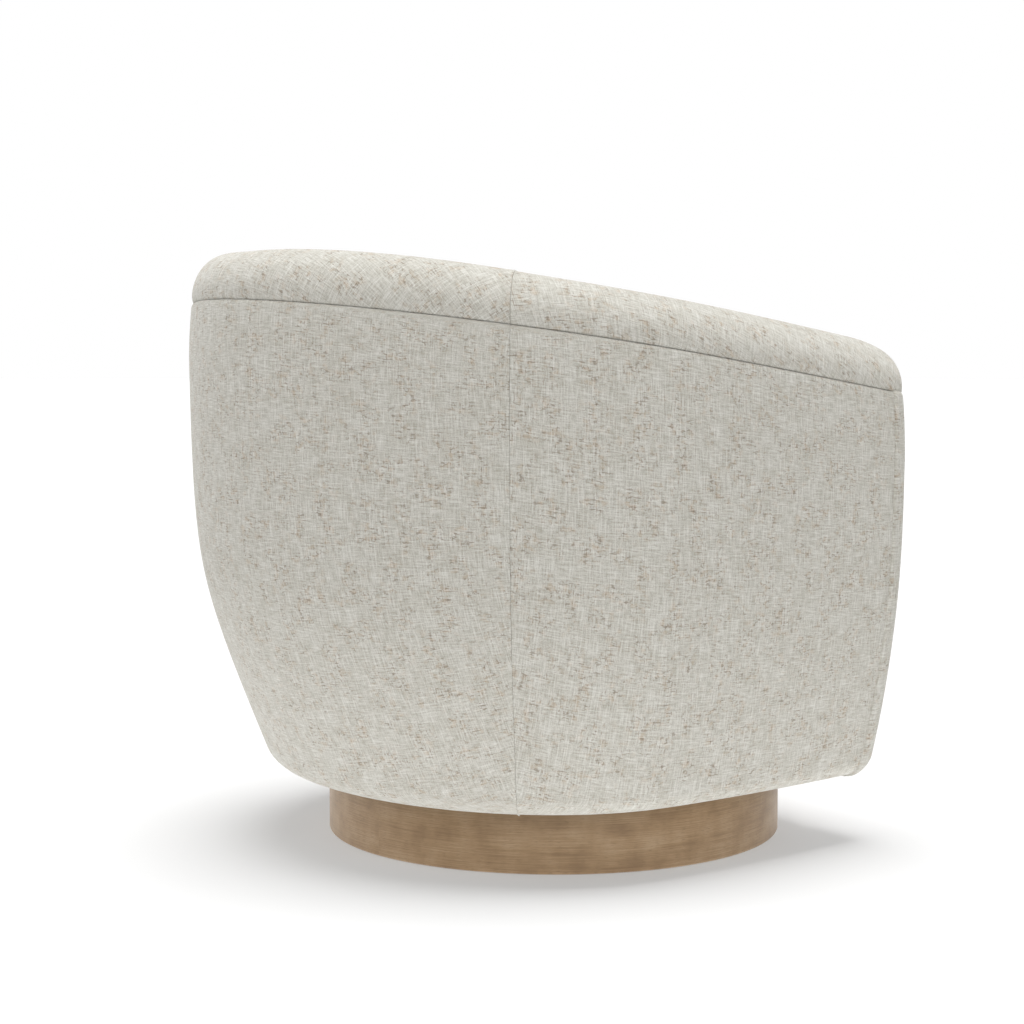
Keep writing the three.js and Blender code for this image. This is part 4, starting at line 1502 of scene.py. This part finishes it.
@dataclass
class SeatUpholstery:
    """Apron, deck pad, loose cushion and the lining under the seat."""

    apron_setback: float = 0.006
    apron_depth: float = 0.0242
    apron_top_z: float = 0.312
    apron_radius: float = 0.0115
    apron_gap: float = 0.0012
    apron_fullness: float = 0.003
    apron_counts: tuple[int, int, int] = (50, 2, 24)
    deck_radius: float = 0.006
    voxel: float = 0.0062
    cushion_shrink: float = 0.003
    swell_limit: float = 0.010
    side_limit: float = 0.0022
    seam_depth: float = 0.0022
    seam_width: float = 0.0045
    seam_setback: float = 0.007
    side_height: float = 0.118
    side_facing: float = 0.35
    boxing_radius: float = 0.29
    boxing_axis_y: float = -0.1
    deck_zone: float = 0.03
    pressure: float = 4.0
    stiffness: float = 20.0
    frames: int = 20
    deck_widening: float = 0.005
    deck_middle: float = 0.2
    lining_hole: float = 0.161
    lining_z: float = 0.0842
    lining_inset: float = 0.0486
    lining_sag: float = 0.0004
    lining_thickness: float = 0.0006
    lining_waves: int = 9
    lining_counts: tuple[int, int] = (161, 13)
    edge_steps: int = 321
    front_steps: int = 40

    def apron(self) -> Object:
        """Builds the padded panel between the arm fronts.

        Returns:
            The apron.
        """
        high = self.apron_top_z - OUTLINE.bottom_z
        wide = 2 * float(OUTLINE.arm_x(-OUTLINE.front_reach, self.apron_top_z, OUTLINE.wall))

        def place(straight: Array) -> Array:
            """Fits the straight panel between the arms and to their lean.

            Args:
                straight: Places in the straight panel.

            Returns:
                Their places on the chair.
            """
            z = OUTLINE.bottom_z + straight[:, 2] + high / 2
            y = self.apron_setback + self.apron_depth / 2 + straight[:, 1] - OUTLINE.front_at(z)
            side = OUTLINE.arm_x(y, z, OUTLINE.wall + self.apron_gap)
            # The front face is a little fuller in its middle
            up = np.sin(math.pi * (straight[:, 2] / high + 0.5))
            full = self.apron_fullness * (1 - (2 * straight[:, 0] / wide) ** 2) * up
            y = y - np.where(straight[:, 1] < 0, full, 0)
            return np.stack([straight[:, 0] / (wide / 2) * side, y + OUTLINE.axis_y, z], axis=1)

        block = PaddedBlock((wide, self.apron_depth, high), self.apron_radius, self.apron_counts)
        return block.make("front_apron_pad", place)

    def deck(self) -> Object:
        """Builds the deck pad from its CAD solid, with rounded edges.

        Returns:
            The deck pad.
        """
        obj = copy_of_node("deck_pad", "deck_pad_calico")
        sharp = math.radians(40)
        apply_modifier(
            obj, "BEVEL", width=self.deck_radius, segments=4, limit_method="ANGLE", angle_limit=sharp
        )
        places = coordinates(obj)
        # Beside the cushion its cloth reaches almost to the inside pads
        places[:, 0] += self.deck_widening * np.clip(places[:, 0] / self.deck_middle, -1, 1)
        set_coordinates(obj, places)
        bpy.ops.object.shade_smooth_by_angle(angle=math.radians(35))
        box_cloth_map(obj, places)
        return obj

    def cushion(self) -> Object:
        """Builds the loose cushion and lets it swell as a stuffed cover does.

        Returns:
            The cushion.
        """
        obj = copy_of_node("seat_cushion", "seat_cushion_stuffed")
        low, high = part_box("seat_cushion")
        centre = (np.array(low) + np.array(high)) / 2
        half = (np.array(high) - np.array(low)) / 2
        places = coordinates(obj)
        set_coordinates(obj, centre + (places - centre) * (half - self.cushion_shrink) / half)
        apply_modifier(obj, "REMESH", mode="VOXEL", voxel_size=self.voxel, use_smooth_shade=True)
        start = coordinates(obj)
        self._swell(obj)
        moved = coordinates(obj) - start
        moved[:, :2] = np.clip(moved[:, :2], -self.side_limit, self.side_limit)
        # Near the deck it may only rise, and above that it may sink a little
        deepest = np.where(start[:, 2] < low.z + self.deck_zone, 0.0, -MM)
        moved[:, 2] = np.clip(moved[:, 2], deepest, self.swell_limit)
        set_coordinates(obj, start + moved)
        apply_modifier(obj, "SUBSURF", levels=1, render_levels=1)
        self._sew(obj, float(low.z))
        bpy.ops.object.shade_smooth()
        return obj

    def _swell(self, obj: Object) -> None:
        """Blows the cover up with the cloth simulation.

        Args:
            obj: The cushion.
        """
        cloth = obj.modifiers.new("Cloth", "CLOTH")
        cloth.settings.use_pressure = True
        cloth.settings.uniform_pressure_force = self.pressure
        cloth.settings.effector_weights.gravity = 0
        cloth.settings.quality = 4
        cloth.settings.tension_stiffness = self.stiffness
        cloth.settings.compression_stiffness = self.stiffness
        cloth.point_cache.frame_start = 1
        cloth.point_cache.frame_end = self.frames
        for number in range(1, self.frames + 1):
            bpy.context.scene.frame_set(number)
        activate(obj)
        bpy.ops.object.modifier_apply(modifier=cloth.name)
        bpy.context.scene.frame_set(1)

    def _sew(self, obj: Object, low_z: float) -> None:
        """Draws the seams round the top and bottom panels in, and lays the cloth.

        Args:
            obj: The cushion.
            low_z: Its lowest height.
        """
        lower = low_z + self.seam_setback
        upper = low_z + self.side_height - self.seam_setback
        places = coordinates(obj)
        normals = np.empty(len(places) * 3)
        obj.data.vertex_normals.foreach_get("vector", normals)
        normals = normals.reshape(-1, 3)
        outward = np.hypot(normals[:, 0], normals[:, 1])
        # The seams run where the cover turns from its side into its top and bottom
        for seam_z in (upper, lower):
            distance = (places[:, 2] - seam_z) / self.seam_width
            draw = self.seam_depth * np.exp(-(distance**2)) * (outward > self.side_facing)
            places -= normals * draw[:, None]
        set_coordinates(obj, places)
        corners, face = corners_of(obj)
        point = places[corners]
        centre_z = np.array([polygon.center.z for polygon in obj.data.polygons])[face]
        on_side = (centre_z < upper) & (centre_z > lower)
        angle = np.arctan2(point[:, 0], -(point[:, 1] - self.boxing_axis_y))
        round_it = np.stack([angle * self.boxing_radius, point[:, 2]], axis=1)
        set_cloth_map(obj, np.where(on_side[:, None], round_it, point[:, :2]))

    def lining(self) -> Object:
        """Builds the thin lining under the frame, with its hole for the swivel.

        Returns:
            The lining.
        """
        angles = np.linspace(-math.pi, math.pi, self.lining_counts[0])
        edge = OUTLINE.point(np.linspace(-2, 2, self.edge_steps), OUTLINE.bottom_z, self.lining_inset)
        edge = np.concatenate([edge, np.linspace(edge[-1], edge[0], self.front_steps)[1:]])
        turn = np.arctan2(edge[:, 0], edge[:, 1] - OUTLINE.axis_y)
        reach = np.hypot(edge[:, 0], edge[:, 1] - OUTLINE.axis_y)
        order = np.argsort(turn)
        outer = np.interp(angles, turn[order], reach[order], period=2 * math.pi)
        shares = np.linspace(0, 1, self.lining_counts[1])
        radius = self.lining_hole + (outer[:, None] - self.lining_hole) * shares[None, :]
        # It sags a fraction of a millimetre, more and less in turn between its staples
        waves = (1 + 0.5 * np.cos(self.lining_waves * angles))[:, None]
        sag = self.lining_sag * np.sin(math.pi * shares)[None, :] * waves
        x = radius * np.sin(angles)[:, None]
        y = radius * np.cos(angles)[:, None] + OUTLINE.axis_y
        points = np.stack([x, y, self.lining_z - sag], axis=2)
        obj = cloth_grid("dust_lining", points, points[:, :, :2])
        edit(obj, merge, face_outwards)
        wide, deep, _ = np.ptp(coordinates(obj), axis=0)
        apply_modifier(obj, "SOLIDIFY", thickness=self.lining_thickness, offset=0)
        return obj

    def dress(self) -> None:
        """Builds and dresses the pieces."""
        apron = self.apron()
        edit(apron, face_outwards)
        finish_piece(apron, LINEN, Slot.LINEN, Body.SEAT, "front_apron", fill=0.9)
        finish_piece(self.deck(), CALICO, Slot.DECK, Body.SEAT, "deck_pad", fill=0.8)
        finish_piece(self.cushion(), LINEN, Slot.LINEN, Body.SEAT, "seat_cushion", fill=0.7)
        finish_piece(self.lining(), LINING, Slot.LINING, Body.SEAT, "dust_cover")


def copy_of_node(node: str, name: str) -> Object:
    """Copies a CAD node's mesh into a new object and merges its loose triangles.

    Args:
        node: The CAD node.
        name: The new piece's name.

    Returns:
        The copy.
    """
    obj = bpy.data.objects.new(name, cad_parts[node].data.copy())
    obj.data.name = name
    bpy.context.scene.collection.objects.link(obj)
    edit(obj, merge, lambda: bpy.ops.mesh.tris_convert_to_quads(face_threshold=0.2, shape_threshold=0.7))
    if obj.data.has_custom_normals:
        bpy.ops.mesh.customdata_custom_splitnormals_clear()
    return obj


# Studio


@dataclass(frozen=True)
class Sun:
    """A soft distant light. Angles are in degrees, and strength is what a white surface gives back."""

    name: str
    azimuth: float
    elevation: float
    spread: float
    strength: float

    def add(self) -> None:
        """Adds the light to the scene."""
        data = bpy.data.lights.new(self.name, "SUN")
        data.energy = self.strength * math.pi
        data.angle = math.radians(self.spread)
        lamp = bpy.data.objects.new(self.name, data)
        lamp.rotation_euler = (0, math.radians(90 - self.elevation), math.radians(self.azimuth))
        bpy.context.scene.collection.objects.link(lamp)


@dataclass
class Studio:
    """Pale floor, soft light and the camera at the photograph's angle."""

    camera_place: tuple[float, float, float] = (-2.4150, 1.3444, 0.613)
    camera_target: tuple[float, float, float] = (0.0262, -0.0278, 0.3917)
    lens: float = 79.40
    suns: tuple[Sun, ...] = (
        Sun("overhead", 0, 90, 34, 1.25),
        Sun("far_right", 0, 15, 40, 0.226),
        Sun("far_left", 45, 15, 40, 0.345),
        Sun("near_left", 135, 15, 40, 0.215),
        Sun("near", 180, 15, 40, 0.285),
        Sun("right", 270, 50, 50, 0.200),
        Sun("far", 315, 15, 40, 0.158),
    )
    table_lights: tuple[tuple[float, float], ...] = ((0.7, 0.64),)
    floor_colour: float = 0.45
    floor_glow: float = 0.335
    backdrop_radius: float = 28.0
    floor_size: float = 60.0

    def camera(self) -> None:
        """Adds the camera."""
        data = bpy.data.cameras.new("camera")
        data.lens = self.lens
        data.sensor_width = 36.0
        data.sensor_fit = "HORIZONTAL"
        data.clip_end = 200.0
        camera = bpy.data.objects.new("camera", data)
        bpy.context.scene.collection.objects.link(camera)
        look = Vector(self.camera_target) - Vector(self.camera_place)
        turn = look.to_track_quat("-Z", "Y").to_matrix().to_4x4()
        camera.matrix_world = Matrix.Translation(self.camera_place) @ turn
        bpy.context.scene.camera = camera

    def light(self) -> None:
        """Adds soft suns round the chair, and lights under the glowing table that shine up."""
        scene = bpy.context.scene
        scene.view_settings.view_transform = "Standard"
        scene.view_settings.look = "None"
        world = bpy.data.worlds.new("studio")
        world.use_nodes = True
        feed(world.node_tree.nodes["Background"], {"Strength": 0.0})
        scene.world = world
        for sun in self.suns:
            sun.add()
        for number, (radius, strength) in enumerate(self.table_lights, 1):
            data = bpy.data.lights.new(f"table_light_{number}", "AREA")
            data.shape = "DISK"
            data.size = 2 * radius
            data.energy = strength * (math.pi * radius) ** 2
            lamp = bpy.data.objects.new(data.name, data)
            upwards = Matrix.Rotation(math.pi, 4, "X")
            lamp.matrix_world = Matrix.Translation((0, OUTLINE.axis_y, MM)) @ upwards
            lamp.visible_camera = False
            scene.collection.objects.link(lamp)

    def floor(self) -> None:
        """Adds the white table, which glows a little, and a white backdrop seen by the camera alone."""
        bpy.ops.mesh.primitive_plane_add(size=self.floor_size, location=(0, 0, 0))
        floor = added("studio_floor")
        bpy.ops.mesh.primitive_uv_sphere_add(segments=48, ring_count=24, radius=self.backdrop_radius)
        backdrop = added("studio_backdrop")
        looks = (
            (floor, "glowing_white_table", {"Roughness": 1.0}, self.floor_colour, self.floor_glow),
            (backdrop, "white_backdrop", {}, 0.0, 1.0),
        )
        for obj, name, inputs, grey, glow in looks:
            material, shader = new_material(name)
            inputs["Base Color"] = (grey, grey, grey, 1)
            inputs["Specular IOR Level"] = 0.0
            inputs["Emission Color"] = (1, 1, 1, 1)
            inputs["Emission Strength"] = glow
            feed(shader, inputs)
            obj.data.materials.append(material)
        for kind in ("diffuse", "glossy", "transmission", "volume_scatter", "shadow"):
            setattr(backdrop, f"visible_{kind}", False)

    def build(self) -> None:
        """Builds the whole studio."""
        self.camera()
        self.light()
        self.floor()


def main() -> None:
    """Builds the chair's sub-assemblies in order."""
    Studio().build()
    covers = OutsideCovers()
    for part in (
        Plinth(),
        Swivel(),
        SeatFrame(),
        covers,
        CapRoll(),
        ArmFronts(covers),
        InsidePads(),
        SeatUpholstery(),
    ):
        log.info("building %s", type(part).__name__)
        part.dress()
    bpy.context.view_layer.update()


if __name__ == "__main__":
    main()
